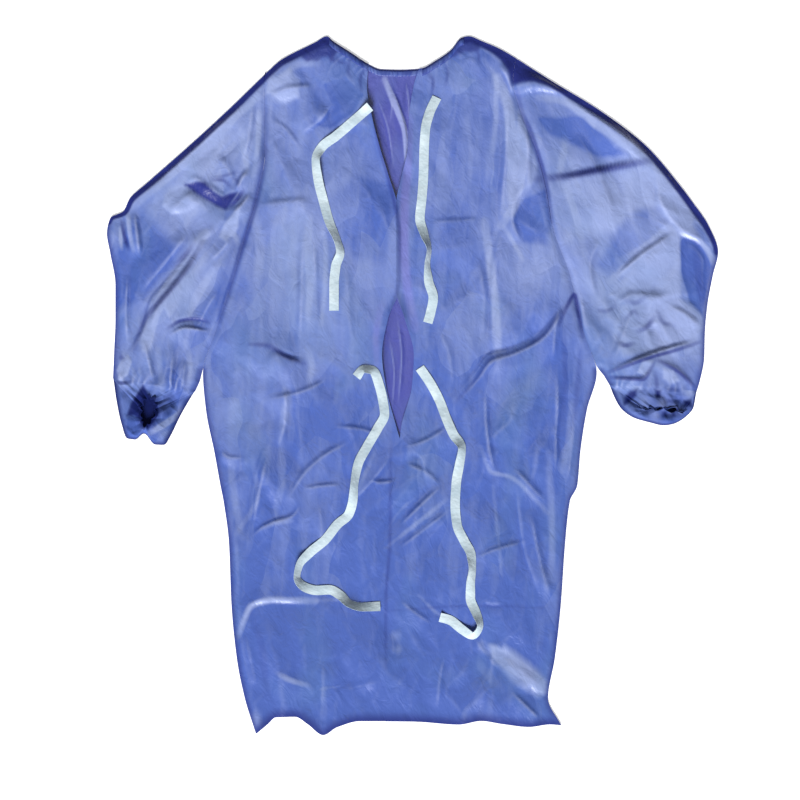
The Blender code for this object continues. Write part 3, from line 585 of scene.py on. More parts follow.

# Painted highlights: pale streaks of sheen on creased film, laid out like the shades.
PAINTED_HIGHLIGHT_LINES = [
    # Just inside the upper edges
    ([(208, 474), (243, 470), (300, 430), (350, 395), (388, 368)], 10, 0.75),
    ([(385, 350), (410, 305), (450, 262), (490, 228)], 9, 0.55),
    ([(-230, 496), (-290, 444), (-350, 390), (-420, 328), (-458, 296)], 10, 0.60),
    ([(-215, 512), (-180, 530), (-155, 530)], 9, 0.45),
    # Right back
    ([(139, 505), (158, 455), (164, 370), (152, 285)], 12, 1.00),
    ([(178, 450), (180, 380), (168, 300), (146, 262)], 10, 0.90),
    ([(118, 270), (128, 200), (136, 130), (140, 60)], 10, 0.85),
    ([(150, 262), (166, 235), (182, 205)], 5, 0.50),
    ([(90, 440), (96, 380), (92, 320)], 6, 0.20),
    ([(116, 536), (138, 500), (137, 440), (131, 385)], 6, 0.45),
    # Left back
    ([(-170, 275), (-172, 225), (-168, 170), (-172, 110)], 8, 0.65),
    ([(-146, 260), (-142, 215), (-144, 160), (-150, 100)], 6, 0.60),
    ([(-212, 20), (-206, -20), (-212, -70)], 11, 0.45),
    ([(-236, 478), (-215, 470), (-180, 486)], 12, 0.40),
    ([(-160, 450), (-140, 430), (-100, 452)], 8, 0.25),
    ([(-172, 60), (-166, 30), (-172, 0)], 9, 0.45),
    ([(-262, 290), (-250, 220), (-262, 150)], 12, 0.30),
    # Inside the left sleeve's pit and down the arm
    ([(-392, 318), (-376, 300), (-360, 288)], 14, 0.50),
    ([(-340, 250), (-368, 212), (-400, 165), (-424, 115), (-438, 62)], 11, 1.2),
    ([(-282, 420), (-276, 380), (-270, 350)], 6, 0.50),
    ([(-300, 270), (-292, 245), (-286, 232)], 6, 0.55),
    ([(-252, 450), (-254, 400), (-262, 345)], 6, 0.60),
    ([(-330, 190), (-352, 150), (-372, 110)], 9, 0.40),
    ([(-468, 282), (-464, 248), (-459, 222)], 5, 0.80),
    ([(-481, 260), (-480, 242), (-478, 224)], 4, 0.90),
    ([(-399, 169), (-415, 141), (-432, 105), (-447, 70)], 6, 0.70),
    ([(-430, -77), (-402, -60), (-376, -41)], 7, 1.40),
    ([(-418, 60), (-414, 20), (-410, -10)], 7, 0.40),
    ([(-372, 70), (-366, 30), (-372, -10)], 7, 0.40),
    # Right sleeve
    ([(252, 405), (246, 370), (240, 340)], 8, 0.45),
    ([(254, 330), (270, 270), (284, 215)], 8, 0.35),
    ([(325, 172), (372, 212), (420, 246), (444, 262)], 9, 0.50),
    ([(340, 205), (385, 232), (418, 262)], 7, 0.35),
    ([(436, 252), (464, 243), (484, 224), (498, 200)], 6, 0.90),
    ([(420, 150), (450, 128), (478, 98)], 7, 0.55),
    # Skirt
    ([(-286, -412), (-276, -385), (-264, -362), (-230, -353), (-160, -354)], 8, 1.1),
    ([(-160, -354), (-120, -352), (-60, -368)], 4, 0.40),
    ([(118, -428), (160, -456), (200, -484), (216, -498)], 15, 1.10),
    ([(105, -450), (120, -470), (145, -500)], 12, 0.40),
    ([(-45, -268), (0, -232), (55, -188)], 5, 0.50),
    ([(-40, -235), (-20, -205), (10, -180)], 4, 0.30),
    ([(112, -100), (130, -142), (160, -150), (200, -185), (222, -210)], 5, 0.65),
    ([(132, -165), (140, -240), (148, -330)], 4, 0.35),
    ([(225, -110), (228, -200), (232, -320)], 8, 0.50),
    ([(262, -30), (258, -80), (248, -140)], 8, 0.40),
    ([(-300, -120), (-292, -190), (-280, -250)], 9, 0.40),
    ([(-216, -80), (-214, -150), (-226, -210)], 9, 0.35),
    ([(-224, -472), (-196, -486), (-168, -494)], 7, 0.90),
    ([(-150, -430), (-147, -490), (-146, -545)], 9, 0.30),
    ([(-160, -500), (-120, -494), (-90, -490)], 4, 0.35),
    ([(10, -345), (35, -370), (58, -386)], 4, 0.50),
    ([(-262, -120), (-255, -180), (-290, -245)], 6, 0.40),
    ([(-245, -236), (-225, -226), (-198, -222)], 5, 0.50),
    ([(-60, -105), (-80, -150), (-100, -196)], 5, 0.35),
]

# Painted sheen where the film looks paler, or painted shade where it is deeper below zero: middle
# across and up, reach across and up, turn in degrees, how much.
PAINTED_SHEEN_AND_SHADE_PATCHES = [
    # Sleeves
    (-380, 230, 100, 200, 0, 0.36),
    (-320, 395, 50, 90, -49, 0.62),
    (-379, 304, 26, 22, 0, 0.65),
    (-382, 150, 22, 90, -22, 0.40),
    (-440, 60, 18, 50, -10, 0.42),
    (-275, 345, 12, 90, -8, 0.35),
    (-476, 28, 9, 24, -14, 0.90),
    (370, 290, 130, 170, 0, 0.66),
    (430, 285, 30, 45, 30, 0.50),
    (380, 200, 30, 70, -48, 0.30),
    (415, 108, 75, 80, 0, 1.05),
    (460, 190, 20, 70, -12, -0.90),
    (250, 405, 30, 45, 20, 0.25),
    (300, 170, 25, 80, 10, 0.20),
    # Backs
    (-200, 223, 50, 110, 0, 0.44),
    (-110, 230, 60, 110, 0, 0.34),
    (193, 198, 50, 60, 0, 0.34),
    (-256, -16, 50, 60, 0, 0.34),
    (100, 120, 60, 120, 0, 0.22),
    (80, 400, 70, 120, 0, 0.10),
    (-160, 440, 50, 70, 25, 0.02),
    (-225, 500, 30, 20, 30, 0.25),
    (310, 408, 30, 28, -30, -0.30),
    (80, 60, 150, 60, 0, -0.05),
    (-80, -460, 220, 100, 0, -0.14),
    (-30, -412, 9, 10, 0, 0.55),
    (-24, -434, 10, 8, 0, 0.45),
    (-257, -552, 10, 14, 0, 0.55),
    (225, -300, 40, 140, 0, 0.16),
    (180, -270, 18, 80, 4, -0.16),
    (-200, 130, 60, 80, 0, 0.14),
    (-275, -100, 30, 80, 0, 0.14),
    (-110, 80, 80, 90, 0, 0.12),
]

# Facets of the film that catch the light or lie in the dark, with that light painted on: outline,
# blend of its edge in millimetres, how dark in painted shade, how pale in painted sheen or how deep
# below zero, and rise in millimetres.
FACETS = [
    # Pit of the left sleeve
    ([(-376, 331), (-353, 336), (-340, 334), (-326, 319), (-313, 311), (-300, 316), (-287, 318),
      (-297, 302), (-307, 288), (-323, 296), (-341, 306), (-359, 317)], 3.0, 1.0, 0.0, -1.5),
    # Left sleeve
    ([(-405, 312), (-379, 322), (-353, 300), (-366, 289), (-396, 283), (-410, 297)], 5, 0, 0.75, 1.5),
    ([(-310, 266), (-284, 295), (-287, 259), (-307, 237), (-318, 244)], 4, 0, 0.60, 1.0),
    ([(-410, 158), (-388, 172), (-377, 155), (-388, 130), (-399, 112), (-408, 130)], 4, 0, 0.70, 1.0),
    ([(-468, 49), (-463, 39), (-469, 18), (-482, 10), (-486, 26), (-478, 39)], 3, 0, 1.10, 1.5),
    ([(-440, 285), (-420, 255), (-380, 225), (-400, 180), (-450, 140), (-485, 130), (-488, 220),
      (-470, 260)], 12, 0, -0.42, 0.0),
    ([(-262, 260), (-285, 272), (-302, 215), (-325, 150), (-318, 105)], 6, 0.10, -0.25, 0.0),
    # Left cuff
    ([(-443, 3), (-431, -16), (-418, -27), (-414, -44), (-423, -61), (-435, -74), (-448, -58),
      (-458, -50), (-471, -51), (-464, -29), (-452, -11)], 3.5, 1.0, 0.0, 0.0),
    ([(-410, -15), (-396, -11), (-385, -24), (-396, -47), (-411, -59), (-416, -37)], 4, 0.55, 0.0, 0.0),
    ([(-482, -4), (-468, -2), (-466, -20), (-474, -36), (-484, -24)], 5, 0.22, 0.0, 0.0),
    # Right cuff
    ([(370, -5), (370, -17), (358, -30), (345, -35), (347, -19), (357, -8)], 5.5, 1.0, 0.0, 0.0),
    ([(398, -6), (408, -8), (408, -20), (400, -20)], 5.5, 1.2, 0.0, 0.0),
    ([(444, -23), (459, -23), (462, -36), (446, -36)], 5.5, 1.0, 0.0, 0.0),
    ([(408, -41), (420, -41), (420, -53), (409, -53)], 5, 0.9, 0.0, 0.0),
    ([(423, -41), (434, -41), (434, -53), (425, -53)], 5, 0.9, 0.0, 0.0),
    ([(416, -20), (441, -22), (441, -31), (417, -30)], 5.5, 0.75, 0.0, 0.0),
    ([(379, 43), (395, 40), (383, 16), (370, 22)], 3, 0, 0.80, 1.0),
    ([(412, 28), (428, 24), (438, 8), (424, 2), (412, 12)], 4, 0, 0.60, 1.0),
    # Right sleeve
    ([(208, 438), (284, 442), (308, 406), (352, 379), (308, 377), (267, 394), (223, 415)],
      6, 0, -0.55, 0.0),
    ([(350, 281), (407, 298), (432, 266), (374, 215), (325, 180), (306, 198)], 10, 0, -0.50, 0.0),
    ([(440, 246), (465, 240), (493, 194), (484, 165), (478, 114), (457, 138), (443, 190)],
      4, 0.12, -0.90, -1.5),
    ([(397, 366), (420, 332), (458, 297), (458, 270), (427, 268), (406, 313)], 6, 0, 0.75, 0.0),
    ([(374, 203), (432, 248), (440, 206), (440, 149), (407, 140), (341, 138), (326, 149)],
      6, 0, 0.50, 1.2),
    ([(345, 130), (374, 132), (440, 128), (476, 92), (440, 78), (345, 48), (330, 80)], 8, 0, 0.45, 0.0),
    ([(226, 332), (300, 346), (372, 358), (385, 300), (330, 255), (250, 235)], 10, 0, 0.22, 0.0),
    # Beside the right armhole
    ([(176, 442), (192, 405), (205, 364), (202, 338), (186, 313), (165, 280), (160, 305), (168, 371)],
      5, 0, 0.45, 0.8),
    ([(185, 305), (218, 322), (226, 264), (220, 231), (180, 236), (166, 270)], 6, 0, -0.45, 0.0),
    # Neck peaks and shoulders
    ([(-185, 541), (-160, 560), (-141, 574), (-117, 558), (-126, 545), (-134, 531), (-139, 541),
      (-156, 539), (-173, 532)], 3, 0.85, 0.0, 0.0),
    ([(68, 556), (95, 572), (116, 564), (108, 549), (86, 549), (56, 536)], 3.5, 0.80, 0.0, 0.0),
    ([(-234, 503), (-202, 521), (-185, 503), (-188, 473), (-218, 469), (-238, 483)], 5, 0, 0.50, 0.8),
    # Left back
    ([(-111, 506), (-83, 478), (-103, 445), (-136, 424), (-156, 429), (-128, 461), (-144, 494)],
      5, 0.08, -0.70, -0.8),
    ([(-148, 300), (-90, 345), (-40, 330), (-36, 250), (-50, 200), (-100, 210)], 10, 0, -0.25, 0.0),
    # Thick fold of the skirt's right side
    ([(128, -427), (152, -426), (193, -455), (222, -487), (221, -508), (205, -513), (168, -490),
      (134, -456)], 7, 0, 0.75, 1.4),
]

# Painted highlight along the curled free edges of the back opening: line, reach in millimetres and
# strength.
PAINTED_EDGE_HIGHLIGHT_LINES = [
    ([(-6, 440), (-8, 370), (-13, 300), (-14, 230), (-10, 170), (4, 95)], 11, 1.0),
    ([(-52, 130), (-60, 80), (-58, 30)], 8, 0.5),
]

# The gathered part of the left neckline, across.
NECK_GATHERED_LEFT = (-0.139, -0.070)
# Gathers beside an elastic: how many, their reach and rise in millimetres, and seed.
NECK_GATHERS_LEFT = (6, 16, 2.0, 51)
NECK_GATHERS_RIGHT = (7, 16, 2.0, 52)
CUFF_GATHERS_LEFT = (8, 24, 2.2, 53)
CUFF_GATHERS_RIGHT = (9, 18, 1.6, 54)
PLEAT_WANDER = 0.016
PLEAT_LATTICE = (41, 43)
PLEAT_SWAY = 0.25
PLEAT_SWAYS = 2.3
PLEAT_BEND = 0.6
PLEAT_REACHES = (0.5, 1.5)
PLEAT_RISES = (0.5, 1.2)
PLEAT_ROUND = 1.2
PLEAT_END = 0.001

# The sleeves swell towards their cuffs: height in millimetres and how far up the arm it reaches.
CUFF_SWELL_LEFT = (7.0, 0.130)
CUFF_SWELL_RIGHT = (7.0, 0.110)
SWELL_REACH = 0.150
SWELL_ROUND = 0.8


class Relief:
    """The height of the upper layer's underside over its lowest place, on an even grid."""

    LOW = (-0.520, -0.600)
    HIGH = (0.520, 0.600)
    STEP = 0.002

    def __init__(self):
        across = np.arange(self.LOW[0], self.HIGH[0] + self.STEP / 2, self.STEP)
        up = np.arange(self.LOW[1], self.HIGH[1] + self.STEP / 2, self.STEP)
        self.x, self.y = np.meshgrid(across, up)
        self.height = np.zeros_like(self.x)
        self.ridges = np.zeros_like(self.x)
        # Painted shade, painted sheen and a painted highlight of the curled free edges, for the film's
        # colour.
        self.folded = np.zeros_like(self.x)
        self.pale_and_painted_sheen = np.zeros_like(self.x)
        self.turned = np.zeros_like(self.x)

    # Painted shade: each place keeps the darkest shade painted on it.
    def paint_shade(self, shade):
        self.folded = np.maximum(self.folded, shade)

    def window(self, line, reach):
        """The part of the grid within reach of a line."""
        low = (line.min(axis=0) - reach - self.LOW) / self.STEP
        high = (line.max(axis=0) + reach - self.LOW) / self.STEP + 1
        low = np.maximum(low.astype(int), 0)
        high = np.maximum(high.astype(int), 0)
        return slice(low[1], high[1]), slice(low[0], high[0])

    def distance(self, line, reach=0.080):
        """Distance to a line and the share along it, right within reach and 1 m past it."""
        part = self.window(line, reach)
        away, along = np.full(self.x.shape, 1.0), np.zeros(self.x.shape)
        away[part], _, along[part] = measured(self.x[part], self.y[part], line)
        return away, along

    def crease(self, points, rise, left, right):
        """A ridge or trough with slopes of its own to each side, which fades out at its ends."""
        line = smooth_line(points, CREASE_STEP)
        steep = max(min(left, right) * STEEP, LEAST_STEEP) * MM
        gentle = max(left, right) * FLANK * MM
        part = self.window(line, gentle)
        away, side, along = measured(self.x[part], self.y[part], line)
        t = np.clip(away / np.where((side > 0) == (left > right), gentle, steep), 0, 1)
        across = (1 - t) ** CREASE_SHARPNESS
        fade = smoothstep(0, CREASE_END, along) * smoothstep(0, CREASE_END, 1 - along)
        folds = np.zeros_like(self.x)
        folds[part] = CREASE_RISE * rise * MM * across * fade
        return folds

    def gathers(self, line, count, reach, rise, seed):
        """Short uneven pleats that run in from an elastic edge."""
        draw = np.random.default_rng(seed)
        away, along = self.distance(line, 4 * reach * MM)
        bends = draw.uniform(-1, 1, PLEAT_LATTICE)
        wander = bent(bends, self.x / PLEAT_WANDER, self.y / PLEAT_WANDER)
        sway = PLEAT_SWAY * np.sin(along * count * PLEAT_SWAYS)
        phase = np.clip(along * count + sway + PLEAT_BEND * wander, 0, count - PLEAT_END)
        pleat = phase.astype(int)
        reaches = reach * MM * draw.uniform(*PLEAT_REACHES, count)[pleat]
        rises = rise * MM * draw.uniform(*PLEAT_RISES, count)[pleat]
        across = 1 - np.abs(2 * (phase - pleat) - 1)
        return rises * across ** PLEAT_ROUND * np.exp(-away / reaches)

    def band(self, points, reach, strength):
        """A soft band of that strength along a line, for painted shade and highlights in the film's
        colour.
        """
        away, along = self.distance(smooth_line(points, BAND_STEP))
        here = strength * smoothstep(reach * MM, BAND_CORE * reach * MM, away)
        return here * (BAND_ENDS + (1 - BAND_ENDS) * np.sin(math.pi * along))

    def patch(self, x, y, reach_x, reach_y, turn, strength):
        """A soft round patch of that strength, for painted sheen and shade in the film's colour."""
        x, y, reach_x, reach_y = np.array([x, y, reach_x, reach_y]) / PER_METRE
        across, up = self.x - x, self.y - y
        cos, sin = math.cos(math.radians(turn)), math.sin(math.radians(turn))
        share_x, share_y = (across * cos + up * sin) / reach_x, (up * cos - across * sin) / reach_y
        return strength * np.exp(-share_x ** 2 - share_y ** 2)

    def facet(self, corners, blend):
        """1 inside an outline and 0 outside it, with a soft edge between."""
        outline = np.array(corners + corners[:1]) / PER_METRE
        away, _ = self.distance(outline)
        inside = np.zeros(self.x.shape, dtype=bool)
        for (x, y), (next_x, next_y) in zip(outline[:-1], outline[1:]):
            crosses = (y > self.y) != (next_y > self.y)
            slant = (next_x - x) / ((next_y - y) or 1.0)
            inside ^= crosses & (self.x < x + slant * (self.y - y))
        return smoothstep(-blend * MM, blend * MM, np.where(inside, away, -away))

    def find_ridges(self):
        around = sum(np.roll(self.height, step, axis) for step in (-1, 1) for axis in (0, 1))
        self.ridges = (4 * self.height - around) / self.STEP ** 2

    def at(self, x, y, field=None):
        """The height, or another field of the same grid, at any place in plan."""
        field = self.height if field is None else field
        u = np.clip((x - self.LOW[0]) / self.STEP, 0, self.x.shape[1] - 1.001)
        v = np.clip((y - self.LOW[1]) / self.STEP, 0, self.x.shape[0] - 1.001)
        i, j = u.astype(int), v.astype(int)
        s, t = u - i, v - j
        near = field[j, i] * (1 - s) + field[j, i + 1] * s
        far = field[j + 1, i] * (1 - s) + field[j + 1, i + 1] * s
        return near * (1 - t) + far * t


def softened(field, radius):
    """A field of the relief's grid, blurred by a bell curve of that radius."""
    spread = radius / Relief.STEP
    offsets = np.arange(-int(3 * spread) - 1, int(3 * spread) + 2)
    weights = np.exp(-0.5 * (offsets / spread) ** 2)
    weights /= weights.sum()
    for axis in (0, 1):
        field = sum(weight * np.roll(field, offset, axis) for weight, offset in zip(weights, offsets))
    return field


def lattice(values, u, v):
    """Values of a random grid around each place: near left, near right, far left, far right."""
    i, j = np.floor(u).astype(int), np.floor(v).astype(int)
    rows, columns = values.shape
    corners = [values[(j + b) % rows, (i + a) % columns] for b in (0, 1) for a in (0, 1)]
    return corners, u - i, v - j


def bent(values, u, v):
    """A random grid read with straight blends between its points."""
    (near_left, near_right, far_left, far_right), s, t = lattice(values, u, v)
    near = near_left + (near_right - near_left) * s
    return near + (far_left + (far_right - far_left) * s - near) * t


def facets(x, y, seed, across, along, turn):
    """Heights from -1 to 1 of flat triangles with bent edges, as film crumples."""
    draw = np.random.default_rng(seed)
    angle = math.radians(turn)
    u = (x * math.cos(angle) + y * math.sin(angle)) / across
    v = (y * math.cos(angle) - x * math.sin(angle)) / along
    level, bend_u, bend_v, diagonal = draw.uniform(-1, 1, (4, *CRUMPLE_LATTICE))
    u, v = u + CRUMPLE_BEND * bent(bend_u, u + 0.5, v), v + CRUMPLE_BEND * bent(bend_v, u, v + 0.5)
    (a, b, c, d), s, t = lattice(level, u, v)
    rising = np.where(s >= t, a + (b - a) * s + (d - b) * t, a + (d - c) * s + (c - a) * t)
    falling = np.where(s + t <= 1, a + (b - a) * s + (c - a) * t,
                       d + (c - d) * (1 - s) + (b - d) * (1 - t))
    return np.where(lattice(diagonal, u, v)[0][0] > 0, rising, falling)


def crumpled(relief):
    """The facets of every row of the crumple table, each strong in its own patch."""
    total = np.zeros_like(relief.x)
    for seed, across, along, turn, rise, x, y, reach_x, reach_y in CRUMPLE:
        here = np.exp(-((relief.x - x) / reach_x) ** 2 - ((relief.y - y) / reach_y) ** 2)
        total += rise * MM * here * facets(relief.x, relief.y, seed, across * MM, along * MM, turn)
    return softened(total, CRUMPLE_ROUND)


def top_edge(sleeve, peak, elbow):
    """The shoulder and the upper edge of the sleeve, as points from the neck peak to the elbow."""
    shoulder = np.linspace(peak, sleeve.outer_edge(0.0)[0], 12)
    upper = sleeve.outer_edge(np.linspace(0.02, elbow, 30)).T
    return np.concatenate([line_of(shoulder, top_line(shoulder)), upper])


def neck_edge(start, end):
    across = np.linspace(start, end, 24)
    return line_of(across, top_line(across))


def sleeve_end(sleeve):
    return line_of(*sleeve.outline(np.ones(24), np.linspace(0, 1, 24)))


def shape_edges(relief):
    """How much of the level and of the creases is there near the edges, and the level itself. Paints
    shade on the edges.
    """
    slope, soft = np.ones_like(relief.x), np.ones_like(relief.x)
    crest = np.zeros_like(relief.x)
    for sleeve, peak, neck, elbow, widths in SIDES:
        away, along = relief.distance(top_edge(sleeve, peak, elbow), TOP_REACH)
        width = Profile(widths, 1)(along) * MM
        slope *= np.clip(away / width, 0, 1)
        soft *= smoothstep(0, TOP_SOFT, away / width)
        # Painted shade over the slope of the upper edges.
        relief.paint_shade(1 - smoothstep(TOP_DARK, 1.0, away / width))
        crest = np.maximum(crest, np.exp(-np.maximum(away - width, 0) / CREST_FADE))
        below = sleeve.outer_edge(np.linspace(elbow, 1.0, 40)).T
        inner = sleeve.inner_edge(np.linspace(0, 1.0, 50)).T
        inner = inner[inner[:, 1] < UNDER_CROTCH]
        down = np.linspace(UNDER_CROTCH, BELOW_HEM, 60)
        for line in (below, inner, line_of(sleeve.body_edge(down), down), neck_edge(*neck)):
            away, _ = relief.distance(line)
            rounded = np.sqrt(1 - (1 - np.clip(away / EDGE_ROUND, 0, 1)) ** 2)
            slope *= rounded * (EDGE_LEVEL + (1 - EDGE_LEVEL) * smoothstep(0, EDGE_BLEND, away))
            soft *= smoothstep(0, EDGE_SOFT, away)
            # Painted shade along these edges.
            relief.paint_shade(EDGE_SHADE * smoothstep(EDGE_DARK, 0, away))
    # Painted shade along the hem.
    hem = np.linspace(BODY_SECTIONS[-1][1], BODY_SECTIONS[-1][2], 80)
    away, _ = relief.distance(line_of(hem, hem_line(hem)))
    relief.paint_shade(HEM_SHADE * smoothstep(HEM_DARK, 0, away))
    level = BODY_LEVEL - (BODY_LEVEL - HEM_LEVEL) * smoothstep(*HEM_FALL, relief.y)
    return slope, soft, (level + (CREST - level) * crest) * MM


def shape_folds(relief):
    """The height of the creases, facets and gathers. The facets' painted shade and sheen go into the
    relief.
    """
    folds = np.zeros_like(relief.x)
    for crease in CREASES:
        folds += relief.crease(*crease)
    for corners, blend, dark, pale_and_painted_sheen, rise in FACETS:
        inside = relief.facet(corners, blend)
        folds += rise * MM * inside
        relief.paint_shade(np.minimum(dark * inside, 1))
        relief.pale_and_painted_sheen += pale_and_painted_sheen * inside
    for line, gathers in ((neck_edge(*NECK_GATHERED_LEFT), NECK_GATHERS_LEFT),
                          (neck_edge(*NECK_RIGHT), NECK_GATHERS_RIGHT),
                          (sleeve_end(LEFT), CUFF_GATHERS_LEFT),
                          (sleeve_end(RIGHT), CUFF_GATHERS_RIGHT)):
        folds += relief.gathers(line, *gathers)
    for sleeve, (rise, fade) in ((LEFT, CUFF_SWELL_LEFT), (RIGHT, CUFF_SWELL_RIGHT)):
        away, across = relief.distance(sleeve_end(sleeve), SWELL_REACH)
        folds += rise * MM * smoothstep(fade, 0, away) * np.sin(math.pi * across) ** SWELL_ROUND
    return folds


def armhole_seams(relief):
    """1 along the armhole seams and 0 away from them."""
    seams = np.zeros_like(relief.x)
    for sleeve in (LEFT, RIGHT):
        up = np.linspace(CROTCH, sleeve.outer_edge(0.0)[1], 60)
        away, _ = relief.distance(line_of(sleeve.body_edge(up), up))
        seams = np.maximum(seams, np.exp(-(away / SEAM_HALF) ** 2))
    return seams


def shape_relief():
    """The whole upper layer: its height, and the fields, painted shade and sheen, that its colour reads.
    """
    relief = Relief()
    slope, soft, level = shape_edges(relief)
    folds = shape_folds(relief)
    relief.height = level * slope + (folds + crumpled(relief)) * soft
    relief.height = np.maximum(relief.height, LEAST_LEVEL * level * slope)
    relief.height -= SEAM_DIP * MM * armhole_seams(relief) * np.minimum(slope, 1)
    relief.height = np.maximum(softened(relief.height, RELIEF_ROUND), 0)
    relief.find_ridges()
    for shade in SHADES:
        relief.paint_shade(relief.band(*shade))
    for line in PAINTED_HIGHLIGHT_LINES:
        relief.pale_and_painted_sheen += relief.band(*line)
    for patch in PAINTED_SHEEN_AND_SHADE_PATCHES:
        relief.pale_and_painted_sheen += relief.patch(*patch)
    for line in PAINTED_EDGE_HIGHLIGHT_LINES:
        relief.turned = np.maximum(relief.turned, relief.band(*line))
    return relief


RELIEF = shape_relief()


def link(name, data):
    """A new object of the scene."""
    made = bpy.data.objects.new(name, data)
    bpy.context.scene.collection.objects.link(made)
    return made


def film_grid(name, columns, rows, place, wall=FILM, side=1.0):
    """A piece of film or tape: an even grid, moved by place(across, along), with a thin wall."""
    across, along = np.meshgrid(np.linspace(0, 1, columns + 1), np.linspace(0, 1, rows + 1))
    points = place(across, along).reshape(-1, 3)
    corner = (np.arange(rows)[:, None] * (columns + 1) + np.arange(columns)).ravel()
    faces = np.stack([corner, corner + 1, corner + columns + 2, corner + columns + 1], axis=-1)
    return film_piece(name, points, faces, wall, side)


def film_piece(name, points, faces, wall, side):
    """A mesh with smooth faces, sharp free edges and a wall to one side of it."""
    mesh = bpy.data.meshes.new(name)
    mesh.from_pydata(points.tolist(), [], faces.tolist())
    mesh.shade_smooth()
    edges = np.zeros(len(mesh.loops), dtype=np.int32)
    mesh.loops.foreach_get("edge_index", edges)
    free = np.bincount(edges, minlength=len(mesh.edges)) == 1
    mesh.attributes.new("sharp_edge", "BOOLEAN", "EDGE").data.foreach_set("value", free)
    piece = link(name, mesh)
    solidify = piece.modifiers.new("wall", "SOLIDIFY")
    solidify.thickness = wall
    solidify.offset = side
    return piece


def mark(piece, name, values):
    """Stores one number a point, which the piece's material reads."""
    attribute = piece.data.attributes.new(name, "FLOAT", "POINT")
    attribute.data.foreach_set("value", np.asarray(values, dtype=np.float32).ravel())


# The curvature of the relief at which a crest counts in full.
CREST_CURVE = 260.0


def film_marks(x, y):
    """What the film's finish reads at a place: crests, painted shade, painted sheen, painted edge
    highlight. crests, dark folds, pale and turned places.
    """
    return {
        "crest": RELIEF.at(x, y, RELIEF.ridges) / CREST_CURVE,
        "folded": RELIEF.at(x, y, RELIEF.folded),
        "pale_and_painted_sheen": RELIEF.at(x, y, RELIEF.pale_and_painted_sheen),
        "turned": RELIEF.at(x, y, RELIEF.turned),
    }


def spots_of(piece):
    """Where the points of a piece lie in plan: all across, then all up."""
    return np.array([vertex.co[:2] for vertex in piece.data.vertices]).T


def mark_film(piece):
    for name, values in film_marks(*spots_of(piece)).items():
        mark(piece, name, values)


PANEL_PASSES = 12


def panel_point(first_edge, second_edge, across, along):
    """A point in plan, at shares of the width between two edges and of the way up from the hem."""
    x = first_edge(0.0) + (second_edge(0.0) - first_edge(0.0)) * across
    y = np.zeros_like(x)
    for _ in range(PANEL_PASSES):
        bottom, top = hem_line(x), top_line(x)
        y = bottom + (top - bottom) * along
        first, second = first_edge(y), second_edge(y)
        x = first + (second - first) * across
    return x, y


LAP_RISE = 0.0018
LAP_START = 0.002
LAP_BLEND = 0.030

# The free edges at the back opening curl up: height and width of the curl, and where it begins
# and ends up the garment.
LEFT_CURL = (0.0026, 0.011, 0.02, 0.48)
RIGHT_CURL = (0.0050, 0.019, 0.06, 0.44)
CURL_FADE = 0.05


def curl(y, from_edge, rise, width, low, high):
    here = smoothstep(low, low + CURL_FADE, y) * smoothstep(high, high - CURL_FADE, y)
    return rise * here * (1 - np.clip(from_edge / width, 0, 1)) ** 2


def lap(x, y):
    """How much higher the right back panel lies where it laps over the left one."""
    edge = left_free_edge(y)
    return LAP_RISE * smoothstep(edge + LAP_BLEND, edge + LAP_START, x)


def left_back_height(x, y):
    return BACK_BASE + RELIEF.at(x, y) + curl(y, left_free_edge(y) - x, *LEFT_CURL)


def right_back_height(x, y):
    return BACK_BASE + RELIEF.at(x, y) + lap(x, y) + curl(y, x - right_free_edge(y), *RIGHT_CURL)


# Creases of the front panel that show inside the back opening, as in the table of creases.
INNER_CREASES = [
    ([(-40, 498), (-21, 453), (-11, 410), (-12, 360)], 5.5, 4, 6),
    ([(-60, 480), (-40, 420), (-30, 350)], 1.6, 7, 6),
    ([(-12, 505), (-6, 470), (-4, 430)], 1.8, 4, 6),
    ([(-48, 515), (-34, 470), (-36, 425)], 1.4, 4, 4),
    ([(-26, 120), (-18, 50), (-24, -40)], 2.0, 6, 8),
    ([(-40, 90), (-30, 20), (-34, -50)], 1.4, 5, 5),
]

# Painted shade of the back panels on the front one, as in the table of shades, and a painted
# highlight along a crease.
INNER_SHADES = [
    ([(-78, 500), (-66, 450), (-53, 410), (-40, 365), (-26, 315)], 11, 0.50),
    ([(4, 500), (0, 440), (-4, 400), (-14, 355)], 6, 0.35),
    ([(-34, 120), (-46, 60), (-42, 0), (-26, -70)], 8, 0.40),
    ([(-10, 500), (-14, 470), (-12, 440)], 4, 0.35),
]
INNER_PAINTED_HIGHLIGHT = ([(-46, 505), (-30, 465), (-12, 418), (-8, 370)], 7, 1.8)
FRONT_GRID = (132, 200)
BACK_GRID = (114, 415)
FRONT_CROWD = 0.11


def front_film():
    """The front panel, with the creases that show through the back opening."""
    inner = Relief()
    for crease in INNER_CREASES:
        inner.height += inner.crease(*crease)
    inner.find_ridges()
    inner.pale_and_painted_sheen = inner.band(*INNER_PAINTED_HIGHLIGHT)
    for shade in INNER_SHADES:
        inner.paint_shade(inner.band(*shade))
    inner.folded *= np.clip(1 - inner.pale_and_painted_sheen, 0, 1)

    def place(across, along):
        across = across + FRONT_CROWD * np.sin(2 * math.pi * across)
        x, y = panel_point(left_edge, right_edge, across, along)
        return np.stack([x, y, inner.at(x, y)], axis=-1)

    piece = film_grid("front_film", *FRONT_GRID, place)
    x, y = spots_of(piece)
    # Crests, with the painted highlight along the inner crease added.
    mark(piece, "crest", inner.at(x, y, inner.ridges / CREST_CURVE + inner.pale_and_painted_sheen))
    mark(piece, "pale_and_painted_sheen", inner.at(x, y, inner.pale_and_painted_sheen))
    mark(piece, "folded", inner.at(x, y, inner.folded))
    return piece


